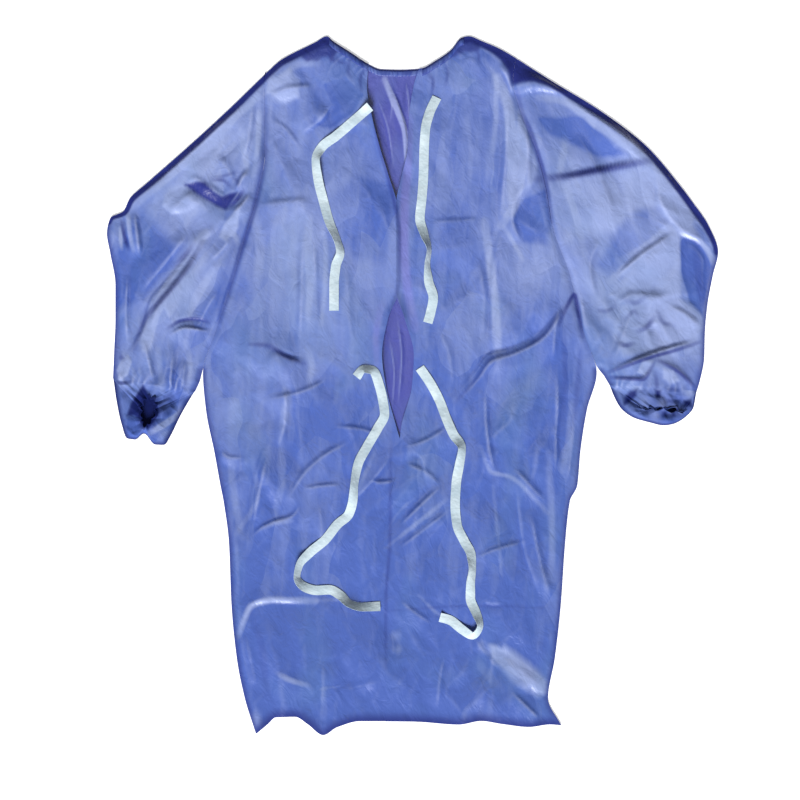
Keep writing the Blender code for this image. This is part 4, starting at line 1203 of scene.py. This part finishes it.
def back_film(name, first_edge, second_edge, height):
    """A back panel between two edges, at its height over the table."""
    def place(across, along):
        x, y = panel_point(first_edge, second_edge, across, along)
        return np.stack([x, y, height(x, y)], axis=-1)

    piece = film_grid(name, *BACK_GRID, place)
    mark_film(piece)
    return piece


def sleeve_ring(cut, along, turn):
    """A point of the flattened tube: turn 0 to 0.5 is its upper layer, outer edge to inner."""
    share = (1 - np.cos(2 * math.pi * turn)) / 2
    x, y = cut.outline(along, share)
    at_edge = np.minimum(share, 1 - share) < TINY
    top = BACK_BASE + FILM + RELIEF.at(x, y)
    z = np.where(at_edge, (BACK_BASE + FILM) / 2, np.where(turn <= 0.5, top, 0.0))
    return np.stack([x, y, z], axis=-1)


def tube_faces(ring, rows, outward):
    row, here = np.meshgrid(np.arange(rows), np.arange(ring), indexing="ij")
    after = (here + 1) % ring
    this, following = row * ring, (row + 1) * ring
    corners = [this + here, this + after, following + after, following + here]
    faces = np.stack(corners, axis=-1).reshape(-1, 4)
    return faces[:, ::-1] if outward < 0 else faces


# Rows down the sleeve, and columns of its upper and its lower layer.
SLEEVE_GRID = (230, 150, 16)


def sleeve_film(name, cut):
    """A flattened tube: its upper layer follows the relief and its lower one lies on the table."""
    rows, upper, lower = SLEEVE_GRID
    turn = np.concatenate([np.linspace(0, 0.5, upper + 1), np.linspace(0.5, 1, lower + 1)[1:-1]])
    turn, along = np.meshgrid(turn, np.linspace(0, 1, rows + 1))
    points = sleeve_ring(cut, along, turn).reshape(-1, 3)
    piece = film_piece(name, points, tube_faces(turn.shape[1], rows, cut.outward), FILM, -1.0)
    mark_film(piece)
    return piece


# Each cuff's outline past the sleeve's end, from the inner edge round to the outer one, across
# and down the arm in millimetres. Then its mouth: its middle across and down, half its width
# and length, height of the elastic and of the ruffle's rim, the ruffle's width and the mouth's bow.
CUFF_OUTLINES = {
    "left": [(68, 0), (50, 45), (38, 82), (31, 96), (16, 98), (-5, 83), (-19, 95), (-30, 95),
             (-43, 75), (-58, 35), (-68, 0)],
    "right": [(72, 0), (63, 19), (48, 40), (25, 53), (0, 58), (-21, 61), (-37, 58), (-59, 43),
              (-70, 26), (-72, 0)],
}
CUFF_MOUTHS = {
    "left": ((-3, 46), (12, 23), (12, 13), 5, 0),
    "right": ((-20, 38), (32, 2), (11, 12), 3, 5),
}
# Pleats round each mouth: how many, seed and depth in millimetres, and the film's crumple.
PLEATS = {"left": (10, 61, 3.6, 2.2), "right": (9, 62, 4.2, 3.6)}
# Painted shade on the film that runs into each mouth: how dark it is.
MOUTH_SHADES = {"left": 0.85, "right": 0.30}
# Dents in each cuff: across, down, reach and depth in millimetres.
DENTS = {
    "left": [(-45, 20, 8, 2), (24, 24, 15, 3), (-24, 30, 15, 4), (30, 34, 13, 3), (-30, 48, 13, 3),
             (0, 78, 10, 2), (-16, 8, 13, 2), (-35, 76, 9, 1)],
    "right": [(35, 19, 12, 6), (-9, 9, 9, 5), (-58, 21, 12, 5), (-22, 42, 8, 4), (-36, 41, 8, 4),
              (6, 41, 9, 3), (-38, 20, 9, 3), (-32, 2, 8, 2), (24, 36, 9, 3)],
}
# Painted highlights on each cuff: across, down, reach in millimetres and how pale.
CUFF_PAINTED_HIGHLIGHTS = {
    "left": [(26, 76, 12, 0.45), (44, 36, 10, 0.3), (10, 4, 12, 0.2), (-46, 8, 9, 0.3)],
    "right": [(-17, 26, 8, 0.55), (-61, 3, 9, 0.6), (28, 0, 10, 0.4), (-10, 45, 6, 0.4),
              (14, 24, 9, 0.35), (-48, 36, 7, 0.3), (54, 8, 10, 0.3)],
}
CUFF_GRID = (230, 68)
# Shares of the way down the cuff: where its lower edge turns over, where the elastic is, and
# where the sleeve's own creases end.
CUFF_TURN_OVER = 0.30
CUFF_ELASTIC = 0.84
CUFF_JOIN = 0.42
# How the film runs in to the mouth, climbs to it and flares at its rim.
DRAW_IN = 1.15
CLIMB = 3.4
RIM_RISE = 0.8
RIM_LEAD = 0.013
RIM_FLARE = 0.75
RIM_FLARE_WAVE = 0.45
# Pleats: where they begin to show in plan, in height and in colour, and what the rim loses.
TUCK_START = 0.35
TUCK_LOSS = 0.3
PLEAT_HEIGHT = 0.6
PLEAT_HEIGHTS = (0.30, 0.75)
PLEAT_LOSS = 0.4
PLEAT_COLOURS = (0.45, 0.8)
PLEAT_WIDTHS = (0.55, 1.6)
PLEAT_DEPTHS = (0.45, 1.0)
PLEAT_SHARPNESS = 1.3
# The cuffs' crumple: facets across and along in millimetres, turn in degrees, and its start.
CUFF_FACETS = (11, 17, 20)
CUFF_FACETS_START = (0.25, 0.5)
CUFF_SEED = 9
# Colour: painted shade over the cuff, along its outline, into the mouth and between the pleats,
# and a painted highlight on the pleats' crests.
CUFF_SHADE = {"left": 0.24, "right": 0.42}
CUFF_SHADE_START = 0.5
CUFF_EDGE = 1.0
CUFF_EDGE_REACH = 0.42
CUFF_EDGE_START = 0.05
MOUTH_SHADE_START = 0.55
PLEAT_SHADE = 0.6
PLEAT_SHADE_LEVEL = 0.1
PLEAT_CREST_HIGHLIGHT = 0.30
CUFF_GATHERED = 0.25


def pleat_wave(turn, count, seed):
    """An uneven wave round a ring, from -1 to 1, with sharp crests and no two pleats alike."""
    draw = np.random.default_rng(seed)
    widths = draw.uniform(*PLEAT_WIDTHS, count)
    ends = np.concatenate([[0], np.cumsum(widths)]) / widths.sum()
    pleat = np.clip(np.searchsorted(ends, turn, side="right") - 1, 0, count - 1)
    within = (turn - ends[pleat]) / (ends[pleat + 1] - ends[pleat])
    depth = draw.uniform(*PLEAT_DEPTHS, count)[pleat]
    return depth * (1 - 2 * np.abs(2 * within - 1) ** PLEAT_SHARPNESS) + depth - 1


def cuff_edge(side, below):
    """The cuff's outline, across and down, at shares of the way round it."""
    outline = np.array(CUFF_OUTLINES[side], dtype=float)
    lengths = lengths_along(outline)
    keyed = [(length / lengths[-1], *point) for length, point in zip(lengths, outline)]
    return Profile(keyed, 1)(below), Profile(keyed, 2)(below)


def spots_on(across, down, spots):
    """The sum of soft round spots, each with its place, reach and strength."""
    total = np.zeros_like(across)
    for spot_across, spot_down, reach, strength in spots:
        away = (across - spot_across) ** 2 + (down - spot_down) ** 2
        total += strength * np.exp(-away / reach ** 2)
    return total


class Cuff:
    """The sleeve's end, drawn in by its elastic, with a short ruffle round the open mouth.

    Across and down are in millimetres from the middle of the sleeve's end. Turn and along are
    shares of the way round the cuff and down it, below is the share round its lower side.
    """

    def __init__(self, side, cut):
        self.side = side
        self.centre, self.half, self.levels, self.ruffle, self.bow = CUFF_MOUTHS[side]
        pleats, self.seed, self.depth, self.rough = PLEATS[side]
        around, rows = CUFF_GRID
        self.turn, self.along = np.meshgrid(np.arange(around) / around, np.linspace(0, 1, rows + 1))
        self.below = np.clip(2 * self.turn - 1, 0, 1)
        self.under = self.turn > 0.5
        self.start = sleeve_ring(cut, np.ones_like(self.turn), self.turn)
        self.wave = pleat_wave(self.turn, pleats, self.seed)
        self.rim_wave = pleat_wave((self.turn + RIM_LEAD) % 1.0, pleats, self.seed)
        self.rim = np.clip((self.along - CUFF_ELASTIC) / (1 - CUFF_ELASTIC), 0, 1)
        delay = CUFF_TURN_OVER * np.sin(math.pi * self.below)
        self.outward = smoothstep(0, np.maximum(delay, TINY), self.along)
        self.inward = np.clip((self.along - delay) / (CUFF_ELASTIC - delay), 0, 1)
        self.quick = np.sqrt(np.sin(math.pi * self.below))
        self.joined = smoothstep(0, CUFF_JOIN, self.along)
        self.joined += (1 - self.joined) * self.quick
        self.lay_out(cut.outer_edge(1.0), cut.inner_edge(1.0))

    def mouth(self):
        """The drawn-in end of the cuff, across and down."""
        angle = math.pi - 2 * math.pi * self.turn
        flare = self.ruffle * self.rim * (RIM_FLARE + RIM_FLARE_WAVE * self.rim_wave)
        tuck = self.depth * smoothstep(TUCK_START, CUFF_ELASTIC, self.along) * self.wave
        tuck *= 1 - TUCK_LOSS * self.rim
        across = self.centre[0] + (self.half[0] + flare + tuck) * np.cos(angle)
        down = self.centre[1] - (self.half[1] + flare + tuck) * np.sin(angle)
        return across, down - self.bow * np.sin(angle) ** 2

    def lay_out(self, outer, inner):
        """The plan: out from the sleeve's end to the outline, then in to the mouth."""
        middle = (outer + inner) / 2
        across_arm = (inner - outer) / np.linalg.norm(inner - outer)
        down_arm = -np.sign(across_arm[0]) * np.array([-across_arm[1], across_arm[0]])
        plan = self.start[..., :2] - middle
        starts = plan @ across_arm / MM, plan @ down_arm / MM
        at = []
        for start, edge, mouth in zip(starts, cuff_edge(self.side, self.below), self.mouth()):
            edge = np.where(self.under, edge, start)
            there = start + (edge - start) * self.outward
            at.append(there + (mouth - there) * self.inward ** DRAW_IN)
        self.across, self.down = at
        self.plan = middle + (self.across[..., None] * across_arm + self.down[..., None] * down_arm) * MM

    def height(self):
        """The film's height over the table, in millimetres."""
        x, y = self.plan[..., 0], self.plan[..., 1]
        floor = self.start[..., 2] / MM
        elastic, rim = self.levels
        climb = smoothstep(0, 1, self.inward)
        climb += (1 - (1 - self.inward) ** CLIMB - climb) * self.quick
        z = floor + (elastic - floor) * climb + (rim - elastic) * self.rim ** RIM_RISE
        pleated = smoothstep(*PLEAT_HEIGHTS, self.along) * (1 - PLEAT_LOSS * self.rim)
        z += self.depth * PLEAT_HEIGHT * self.wave * pleated
        across, along, turn = CUFF_FACETS
        crumple = self.rough * facets(x, y, self.seed + CUFF_SEED, across * MM, along * MM, turn)
        z += crumple * smoothstep(*CUFF_FACETS_START, self.along) * (1 - self.rim)
        z -= spots_on(self.across, self.down, DENTS[self.side])
        carried = (BACK_BASE + FILM + RELIEF.at(x, y)) / MM
        return np.maximum(np.where(self.along == 0, floor, carried + (z - carried) * self.joined), 0)

    def marks(self):
        """What the cuff's finish reads: the sleeve's own marks, carried on, and the pleats', painted
        shade and highlight among them.
        """
        marks = film_marks(self.plan[..., 0], self.plan[..., 1])
        pleated = smoothstep(*PLEAT_COLOURS, self.along)
        outline = smoothstep(CUFF_EDGE_REACH, 0, self.inward) * smoothstep(0, CUFF_EDGE_START, self.below)
        # Painted shade: the sleeve's, over the cuff, along its outline, into the mouth and between the
        # pleats.
        shades = [
            marks["folded"],
            CUFF_SHADE[self.side] * smoothstep(0, CUFF_SHADE_START, self.along),
            CUFF_EDGE * outline * self.under,
            MOUTH_SHADES[self.side] * smoothstep(MOUTH_SHADE_START, 1.0, self.inward),
            PLEAT_SHADE * np.clip(-self.wave - PLEAT_SHADE_LEVEL, 0, 1) * pleated,
        ]
        # Painted highlight on the pleats' crests.
        crests = PLEAT_CREST_HIGHLIGHT * np.clip(self.wave, 0, 1) * pleated
        return {
            "crest": marks["crest"] * (1 - self.joined) + crests,
            "folded": np.maximum.reduce(shades),
            "pale_and_painted_sheen": marks["pale_and_painted_sheen"] + spots_on(self.across, self.down, CUFF_PAINTED_HIGHLIGHTS[self.side]),
            "gathered": smoothstep(0, CUFF_GATHERED, self.along),
        }


def cuff_film(name, side, cut):
    cuff = Cuff(side, cut)
    points = np.concatenate([cuff.plan, cuff.height()[..., None] * MM], axis=-1).reshape(-1, 3)
    piece = film_piece(name, points, tube_faces(*CUFF_GRID, cut.outward), FILM, -1.0)
    for kind, values in cuff.marks().items():
        mark(piece, kind, values)
    return piece


TAPE_CLEAR = 0.0003
TAPE_STATIONS = {"neck": 120, "waist": 170}
TAPE_COLUMNS = 6
TAPE_CUP = 0.0007
TAPE_RIPPLES = 40


def back_top(x, y):
    """The highest film at a place on the back panels."""
    left = np.where(x < left_free_edge(y), left_back_height(x, y), 0.0)
    right = np.where(x > right_free_edge(y), right_back_height(x, y), 0.0)
    return np.maximum(left, right) + FILM


def never_below(heights):
    """Eases rows of heights along a tape without going below any of them."""
    for combine in (lambda near: np.max(near, axis=0), lambda near: np.mean(near, axis=0)):
        padded = np.concatenate([heights[:1], heights[:1], heights, heights[-1:], heights[-1:]])
        heights = combine([padded[i:i + len(heights)] for i in range(5)])
    return heights


def tape(name, points, ripple_seed):
    """A woven tape laid on the panels. Where it rolls over, one long edge stands up."""
    stations = TAPE_STATIONS[name.split("_")[0]]
    keys = lengths_along(np.array(points))
    rows = [(key, *point) for key, point in zip(keys, points)]
    at = np.linspace(0, keys[-1], stations + 1)
    x, y, roll = (Profile(rows, column)(at) for column in (1, 2, 3))
    run = line_of(np.gradient(x), np.gradient(y))
    run /= np.linalg.norm(run, axis=1)[:, None]
    tilt = np.radians(roll)
    draw = np.random.default_rng(ripple_seed)
    ripple = np.interp(at, np.linspace(0, keys[-1], TAPE_RIPPLES), draw.uniform(-1, 1, TAPE_RIPPLES))
    reach = (TAPE_WIDTH / 2 * np.cos(tilt))[:, None] * line_of(-run[:, 1], run[:, 0])
    middle = line_of(x, y)
    shares = np.linspace(0, 1, TAPE_COLUMNS + 1)
    share = shares[:, None]
    plan = (middle + reach)[:, None] * (1 - share) + (middle - reach)[:, None] * share
    ground = back_top(plan[..., 0], plan[..., 1])
    line = ground[:, :1] * (1 - shares) + ground[:, -1:] * shares
    low = never_below(ground[:, 0] + np.max(ground - line, axis=1)) + TAPE_CLEAR
    high = never_below(ground[:, -1] + np.max(ground - line, axis=1)) + TAPE_CLEAR
    stand = TAPE_WIDTH * np.abs(np.sin(tilt))
    first = np.where(tilt < 0, np.maximum(low, high + stand), low)
    second = np.where(tilt > 0, np.maximum(high, low + stand), high)
    z = first[:, None] * (1 - shares) + second[:, None] * shares
    z += TAPE_CUP * (0.6 + 0.4 * ripple[:, None]) * np.sin(math.pi * shares) ** 2

    def place(across, along):
        return np.concatenate([plan, z[..., None]], axis=-1)

    return film_grid(name, TAPE_COLUMNS, stations, place, TAPE_WALL)


CASING_PITCH = 0.0070
CASING_ROWS = 12
CASING_COLUMNS = 8
CASING_PUFF = 0.0018
CASING_GATHER = 0.0006
CASINGS = {
    "neck_elastic_left": ("neck_casing_left", -0.137, -0.074, 0.0115),
    "neck_elastic_right": ("neck_casing_right", 0.016, 0.084, 0.0115),
    "neck_elastic_front": ("neck_casing_front", -0.098, 0.046, 0.0100),
}


def casing(name, start, end, depth, ground):
    """The film doubled over the neck's elastic, drawn into fine gathers."""
    gathers = round((end - start) / CASING_PITCH)

    def pleat(along):
        sway = 0.30 * np.sin(9 * along + 1000 * depth) + 0.16 * np.sin(31 * along)
        uneven = 0.6 + 0.4 * np.sin(23 * along + 900 * depth)
        return np.abs(np.sin(math.pi * (gathers * along + sway))) ** 0.8 * uneven

    def place(across, along):
        x = start + (end - start) * along
        y = top_line(x) - NECK_EDGE - depth * across
        puff = np.sqrt(np.clip(1 - (2 * across - 1) ** 2, 0, 1))
        height = ground(x, y) + LAYER_CLEAR + CASING_PUFF * puff * (0.62 + 0.38 * pleat(along))
        return np.stack([x, y + CASING_GATHER * (0.5 - pleat(along)) * across, height], axis=-1)

    rows = gathers * CASING_ROWS
    piece = film_grid(name, CASING_COLUMNS, rows, place, FILM, -1.0)
    across, along = np.meshgrid(np.linspace(0, 1, CASING_COLUMNS + 1), np.linspace(0, 1, rows + 1))
    # Painted shade along the casing's edges and in the troughs of its gathers.
    edges = 0.85 * smoothstep(0.35, 0.1, across) + 0.7 * smoothstep(0.7, 1.0, across)
    mark(piece, "folded", np.clip(np.maximum(edges, 0.6 - 0.7 * pleat(along)), 0, 1))
    return piece


class Value:
    """A shader socket that takes part in arithmetic. Each operation adds one Math node."""

    def __init__(self, finish, socket):
        self.finish = finish
        self.socket = socket

    def maths(self, operation, *others, clamp=False):
        settings = {"operation": operation, "use_clamp": clamp}
        return self.finish.node("ShaderNodeMath", settings, dict(enumerate((self, *others))))

    def __add__(self, other):
        return self.maths("ADD", other)

    def __sub__(self, other):
        return self.maths("SUBTRACT", other)

    def __rsub__(self, other):
        return self.finish.node("ShaderNodeMath", {"operation": "SUBTRACT"}, {0: other, 1: self})

    def __mul__(self, other):
        return self.maths("MULTIPLY", other)

    def clamped(self):
        return self.maths("ADD", 0.0, clamp=True)

    __radd__ = __add__
    __rmul__ = __mul__


class Finish:
    """A material in the making. Every node but its shader comes from one method."""

    def __init__(self, name, colour, roughness, **uniform):
        self.material = bpy.data.materials.new(name)
        self.material.use_nodes = True
        self.tree = self.material.node_tree
        self.shader = self.tree.nodes["Principled BSDF"]
        self.set(**{"Base Color": (*colour, 1.0), "Roughness": roughness})
        self.set(**{key.replace("_", " "): value for key, value in uniform.items()})

    def set(self, **sockets):
        for name, value in sockets.items():
            self.feed(self.shader.inputs[name], value)

    def feed(self, socket, value):
        if isinstance(value, Value):
            self.tree.links.new(value.socket, socket)
        else:
            socket.default_value = value

    def node(self, kind, settings=None, sockets=None, output=0):
        made = self.tree.nodes.new(kind)
        for name, value in (settings or {}).items():
            setattr(made, name, value)
        for key, value in (sockets or {}).items():
            self.feed(made.inputs[key], value)
        return Value(self, made.outputs[output])

    def place(self, stretch=(1, 1, 1), turn=0.0):
        """A place on the garment in metres, turned about the vertical and then stretched."""
        spot = self.node("ShaderNodeTexCoord", output="Object")
        turned = self.node("ShaderNodeVectorRotate", {"rotation_type": "Z_AXIS"},
                           {"Vector": spot, "Angle": math.radians(turn)})
        return self.node("ShaderNodeVectorMath", {"operation": "MULTIPLY"}, {0: turned, 1: stretch})

    def noise(self, spot, scale, detail=2.0, roughness=0.5, distortion=0.0):
        return self.node("ShaderNodeTexNoise", {}, {
            "Vector": spot, "Scale": scale, "Detail": detail, "Roughness": roughness,
            "Distortion": distortion})

    def between(self, value, low, high):
        """0 below low, 1 above high and even between them."""
        return self.node("ShaderNodeMapRange", {}, {"Value": value, "From Min": low, "From Max": high})

    def mark(self, name):
        """The number that a piece stores under that name at each of its points."""
        return self.node("ShaderNodeAttribute", {"attribute_name": name}, output="Fac")

    def mixed(self, share, first, second):
        """A colour between two colours."""
        first, second = ((*c, 1.0) if isinstance(c, tuple) else c for c in (first, second))
        sockets = {"Factor": share, "A": first, "B": second}
        return self.node("ShaderNodeMix", {"data_type": "RGBA"}, sockets, "Result")

    def bump(self, height, strength, distance, below=None):
        sockets = {"Height": height, "Strength": strength, "Distance": distance}
        if below is not None:
            sockets["Normal"] = below
        return self.node("ShaderNodeBump", {}, sockets)


FILM_DEEP = (0.065, 0.118, 0.412)
# The film's paler tone, for its random clouds and for its painted sheen.
FILM_PALE = (0.250, 0.312, 0.565)
# Paler crests: whitened film, and a painted highlight.
FILM_CREST_WEAR_AND_HIGHLIGHT = (0.330, 0.385, 0.640)
# The colour of painted shade on the film.
FILM_PAINTED_SHADE = (0.020, 0.029, 0.190)
# The colour of painted shade on the cuffs.
CUFF_PAINTED_SHADE = (0.006, 0.013, 0.105)
FILM_TEAL = (0.090, 0.172, 0.370)
# The colour of painted shade in the troughs.
FILM_TROUGH_SHADE = (0.028, 0.045, 0.230)
# The colour of the painted highlight along the curled free edges.
FILM_EDGE_HIGHLIGHT = (0.185, 0.195, 0.530)
FILM_GATHERED = (0.044, 0.078, 0.320)
INSIDE_DEEP = (0.058, 0.069, 0.330)
INSIDE_PALE = (0.120, 0.133, 0.430)
# The inside of the sleeves and cuffs, painted near black as shade.
MOUTH_PAINTED_SHADE = (0.006, 0.011, 0.080)
MOUTH_PAINTED_SHADE_PALE = (0.010, 0.014, 0.100)
TAPE_WHITE = (0.58, 0.69, 0.76)
TAPE_SOILED = (0.42, 0.53, 0.60)
TAPE_CLEAN = (0.55, 0.65, 0.70)
# Flat cells of the film's colour and crinkles in a metre, and how far their edges wander.
FILM_CELLS = 17.0
CELL_WANDER = (0.040, 0.040, 0.0)
# Shares of the pale colour and of the others in the film's, each where its mark is full.
PALE_BASE = -0.02
# Painted sheen: how much paler the upper part of the garment is.
PAINTED_SHEEN_UPWARDS = 0.25
PALE_FROM, PALE_TO = -0.42, 0.30
CLOUD_SHARE = 0.6
STREAK_SHARE = 0.65
CELL_SHARE = 0.25
TEAL_SHARE = 0.40
CREST_WEAR_AND_HIGHLIGHT_SHARE = 0.6
TROUGH_SHADE_SHARE = 0.45
EDGE_HIGHLIGHT_SHARE = 0.85


def film_finish(name, deep, pale_and_painted_sheen, gloss=0.30, mirror=0.25, turn=4, folded_to=FILM_PAINTED_SHADE):
    """Glossy plastic film: clouded colour, painted sheen and shade, whitened creases with a painted
    highlight, fine crinkles.
    """
    film = Finish(name, deep, 0.3, Specular_IOR_Level=mirror, Coat_Roughness=0.30, IOR=1.5)
    spot = film.place()
    streaks = film.noise(film.place((60, 9, 9), turn), 1.0, 3.0, 0.55)
    clouds = film.noise(spot, 8.5, 3.0, 0.55, 0.6)
    grain = film.noise(spot, 170.0, 2.0, 0.6)
    height = film.node("ShaderNodeSeparateXYZ", {}, {"Vector": spot}, "Y")
    # Painted sheen over the upper part of the garment.
    upper = film.between(height, PALE_FROM, PALE_TO)
    bend = film.mark("crest")
    crest, trough_shade = bend.clamped(), (-1.0 * bend).clamped()
    # Painted sheen, and painted shade where it falls below zero.
    patch = film.mark("pale_and_painted_sheen")
    wander = film.node("ShaderNodeTexNoise", {}, {"Vector": spot, "Scale": 14.0, "Detail": 1.0},
                       "Color")
    warped = film.node("ShaderNodeVectorMath", {"operation": "MULTIPLY_ADD"},
                       {0: wander, 1: CELL_WANDER, 2: film.place((1, 0.5, 1), turn)})
    cells = film.node("ShaderNodeTexVoronoi", {}, {"Vector": warped, "Scale": FILM_CELLS}, "Color")
    tone = film.node("ShaderNodeSeparateColor", {}, {"Color": cells}, "Red")
    # The pale colour's share: painted sheen high up and in patches, with random clouds, streaks and
    # cells.
    pale_share = (PALE_BASE + PAINTED_SHEEN_UPWARDS * upper + patch + CLOUD_SHARE * (clouds - 0.5)
                  + STREAK_SHARE * (streaks - 0.5) + CELL_SHARE * (tone - 0.5)).clamped()
    colour = film.mixed(pale_share, deep, pale_and_painted_sheen)
    tint = film.between(film.noise(film.place((1, 0.6, 1), turn), 9.0, 2.0, 0.5, 0.5), 0.50, 0.75)
    colour = film.mixed(TEAL_SHARE * tint, colour, FILM_TEAL)
    # Paler crests: whitened film, and a painted highlight.
    colour = film.mixed((crest * CREST_WEAR_AND_HIGHLIGHT_SHARE).clamped(), colour, FILM_CREST_WEAR_AND_HIGHLIGHT)
    # Painted shade in the troughs.
    colour = film.mixed((trough_shade * TROUGH_SHADE_SHARE).clamped(), colour, FILM_TROUGH_SHADE)
    # Painted highlight along the curled free edges.
    turned = film.mark("turned")
    colour = film.mixed((turned * EDGE_HIGHLIGHT_SHARE).clamped(), colour, FILM_EDGE_HIGHLIGHT)
    # Painted shade over the rest, as its mark gives it.
    folded = film.mark("folded")
    gathered = film.mark("gathered")
    film.set(**{"Base Color": film.mixed(folded, colour, folded_to),
                "Coat Weight": gloss * (1.0 - folded - gathered).clamped()})
    film.set(Roughness=0.27 + 0.10 * clouds + 0.12 * crest + 0.05 * grain + 0.30 * gathered)
    crinkle = film.noise(film.place((1, 0.55, 1), -20), 58.0, 3.0, 0.55, 0.8)
    fine = film.noise(spot, 150.0, 2.0, 0.5)
    edges = film.node("ShaderNodeTexVoronoi", {"feature": "DISTANCE_TO_EDGE"},
                      {"Vector": warped, "Scale": FILM_CELLS}, "Distance")
    lines = film.between(edges, 0.0, 0.06)
    relief = film.bump(lines, 0.14, 0.0012, film.bump(crinkle, 0.42, 0.0035))
    film.set(Normal=film.bump(fine, 0.25, 0.0008, relief))
    return film.material


def tape_finish():
    """Woven white tape: fine ribs across it, and a little soiling and unevenness."""
    tape_cloth = Finish("woven_tape", TAPE_WHITE, 0.62, Sheen_Weight=0.3)
    spot = tape_cloth.place()
    cloud = tape_cloth.noise(spot, 42.0, 3.0, 0.6)
    weave = tape_cloth.noise(tape_cloth.place((1, 1, 1), 35), 900.0, 1.0, 0.5)
    soiled = tape_cloth.between(cloud, 0.35, 0.7)
    tape_cloth.set(**{"Base Color": tape_cloth.mixed(soiled, TAPE_SOILED, TAPE_CLEAN)})
    tape_cloth.set(Roughness=0.52 + 0.2 * weave)
    crumple = tape_cloth.bump(tape_cloth.noise(spot, 130.0, 2.0, 0.5), 0.5, 0.002)
    tape_cloth.set(Normal=tape_cloth.bump(weave, 0.35, 0.0004, crumple))
    return tape_cloth.material


def floor_finish():
    """The white table, which glows a little so that it stays white."""
    table = Finish("table_top", (0.9, 0.9, 0.9), 0.9, Emission_Strength=0.40)
    table.set(**{"Emission Color": (1.0, 1.0, 1.0, 1.0)})
    return table.material


# Camera and lights. The sun stands low, to show the relief, and a broad lamp gives the sheen.
CAMERA_PLACE = (-0.0206, -0.0238, 4.0)
CAMERA_LENS = 109.3
CAMERA_SENSOR = 36.0
CAMERA_FAR = 50
FLOOR_SIZE = 8
FLOOR_HEIGHT = -0.0006
SUN_POWER = 5.7
SUN_SPREAD = 26
SUN_HEIGHT = 54
SUN_TURN = -12
LAMP_PLACE = (-0.1, 0.55, 3.6)
LAMP_TARGET = (0, 0.1, 0)
LAMP_SIZE = (0.9, 0.7)
LAMP_POWER = 10
SKY_COLOUR = (0.95, 0.97, 1.0, 1)
SKY_POWER = 0.13


def stage():
    """Camera, floor and light."""
    camera = bpy.data.cameras.new("camera")
    camera.sensor_width = CAMERA_SENSOR
    camera.lens = CAMERA_LENS
    camera.clip_end = CAMERA_FAR
    eye = link("camera", camera)
    eye.location = CAMERA_PLACE
    bpy.context.scene.camera = eye

    bpy.ops.mesh.primitive_plane_add(size=FLOOR_SIZE, location=(0, 0, FLOOR_HEIGHT))
    floor = bpy.context.object
    floor.name = "floor"
    floor.data.materials.append(floor_finish())

    sun = bpy.data.lights.new("key", "SUN")
    sun.energy = SUN_POWER
    sun.angle = math.radians(SUN_SPREAD)
    link("key", sun).rotation_euler = (math.radians(SUN_HEIGHT), 0, math.radians(SUN_TURN))
    lamp = bpy.data.lights.new("overhead", "AREA")
    lamp.shape = "RECTANGLE"
    lamp.size, lamp.size_y = LAMP_SIZE
    lamp.energy = LAMP_POWER
    overhead = link("overhead", lamp)
    overhead.location = LAMP_PLACE
    direction = Vector(LAMP_TARGET) - Vector(LAMP_PLACE)
    overhead.rotation_euler = direction.to_track_quat("-Z", "Y").to_euler()

    world = bpy.data.worlds.new("world")
    world.use_nodes = True
    background = world.node_tree.nodes["Background"]
    background.inputs["Color"].default_value = SKY_COLOUR
    background.inputs["Strength"].default_value = SKY_POWER
    bpy.context.scene.world = world
    bpy.context.scene.view_settings.view_transform = "Standard"


def dress(piece, node, materials):
    """Gives a piece its finish and its body, and hides the solid that it stands for."""
    for material in materials:
        piece.data.materials.append(material)
    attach(piece, "root")
    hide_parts(node)


def build():
    outside = film_finish("film_outside", FILM_DEEP, FILM_PALE)
    inside = film_finish("film_inside", INSIDE_DEEP, INSIDE_PALE)
    along_arm = {
        "left": film_finish("film_left_arm", FILM_DEEP, FILM_PALE, turn=25),
        "right": film_finish("film_right_arm", FILM_DEEP, FILM_PALE, turn=-28),
    }
    gathered = film_finish("film_gathered", FILM_GATHERED, FILM_PALE, 0.0, 0.12)
    # The inner walls of the sleeves and cuffs, in painted shade.
    mouth = film_finish("film_inside_painted_shade", MOUTH_PAINTED_SHADE, MOUTH_PAINTED_SHADE_PALE, 0.0, 0.05, folded_to=MOUTH_PAINTED_SHADE)
    cuffs = {
        "left": film_finish("film_left_cuff", FILM_DEEP, FILM_PALE, 0.2, 0.12, 25, CUFF_PAINTED_SHADE),
        "right": film_finish("film_right_cuff", FILM_DEEP, FILM_PALE, 0.2, 0.12, -28, CUFF_PAINTED_SHADE),
    }
    woven = tape_finish()

    front = front_film()
    front.modifiers["wall"].material_offset = 1
    dress(front, "front_panel", [inside, outside])
    left = back_film("back_left_film", left_edge, left_free_edge, left_back_height)
    right = back_film("back_right_film", right_free_edge, right_edge, right_back_height)
    for piece, node in ((left, "back_left_panel"), (right, "back_right_panel")):
        piece.modifiers["wall"].material_offset = 1
        dress(piece, node, [outside, inside])
    for side, cut in (("left", LEFT), ("right", RIGHT)):
        arm = sleeve_film(f"sleeve_{side}_film", cut)
        cuff = cuff_film(f"cuff_{side}_film", side, cut)
        arm.modifiers["wall"].material_offset = 1
        cuff.modifiers["wall"].material_offset = 1
        dress(arm, f"sleeve_{side}", [along_arm[side], mouth])
        dress(cuff, f"cuff_{side}", [cuffs[side], mouth])
    for name, (node, start, end, depth) in CASINGS.items():
        under = (lambda x, y: 0.0 * x + FILM) if node.endswith("front") else back_top
        dress(casing(name, start, end, depth, under), node, [gathered])
    for seed, (node, points) in enumerate(TAPES.items()):
        name = node.replace("_tape_", "_tie_")
        points = metres(points)
        length = float(lengths_along(np.array(points))[-1])
        dress(tape(name, points, seed), node, [woven])


stage()
build()
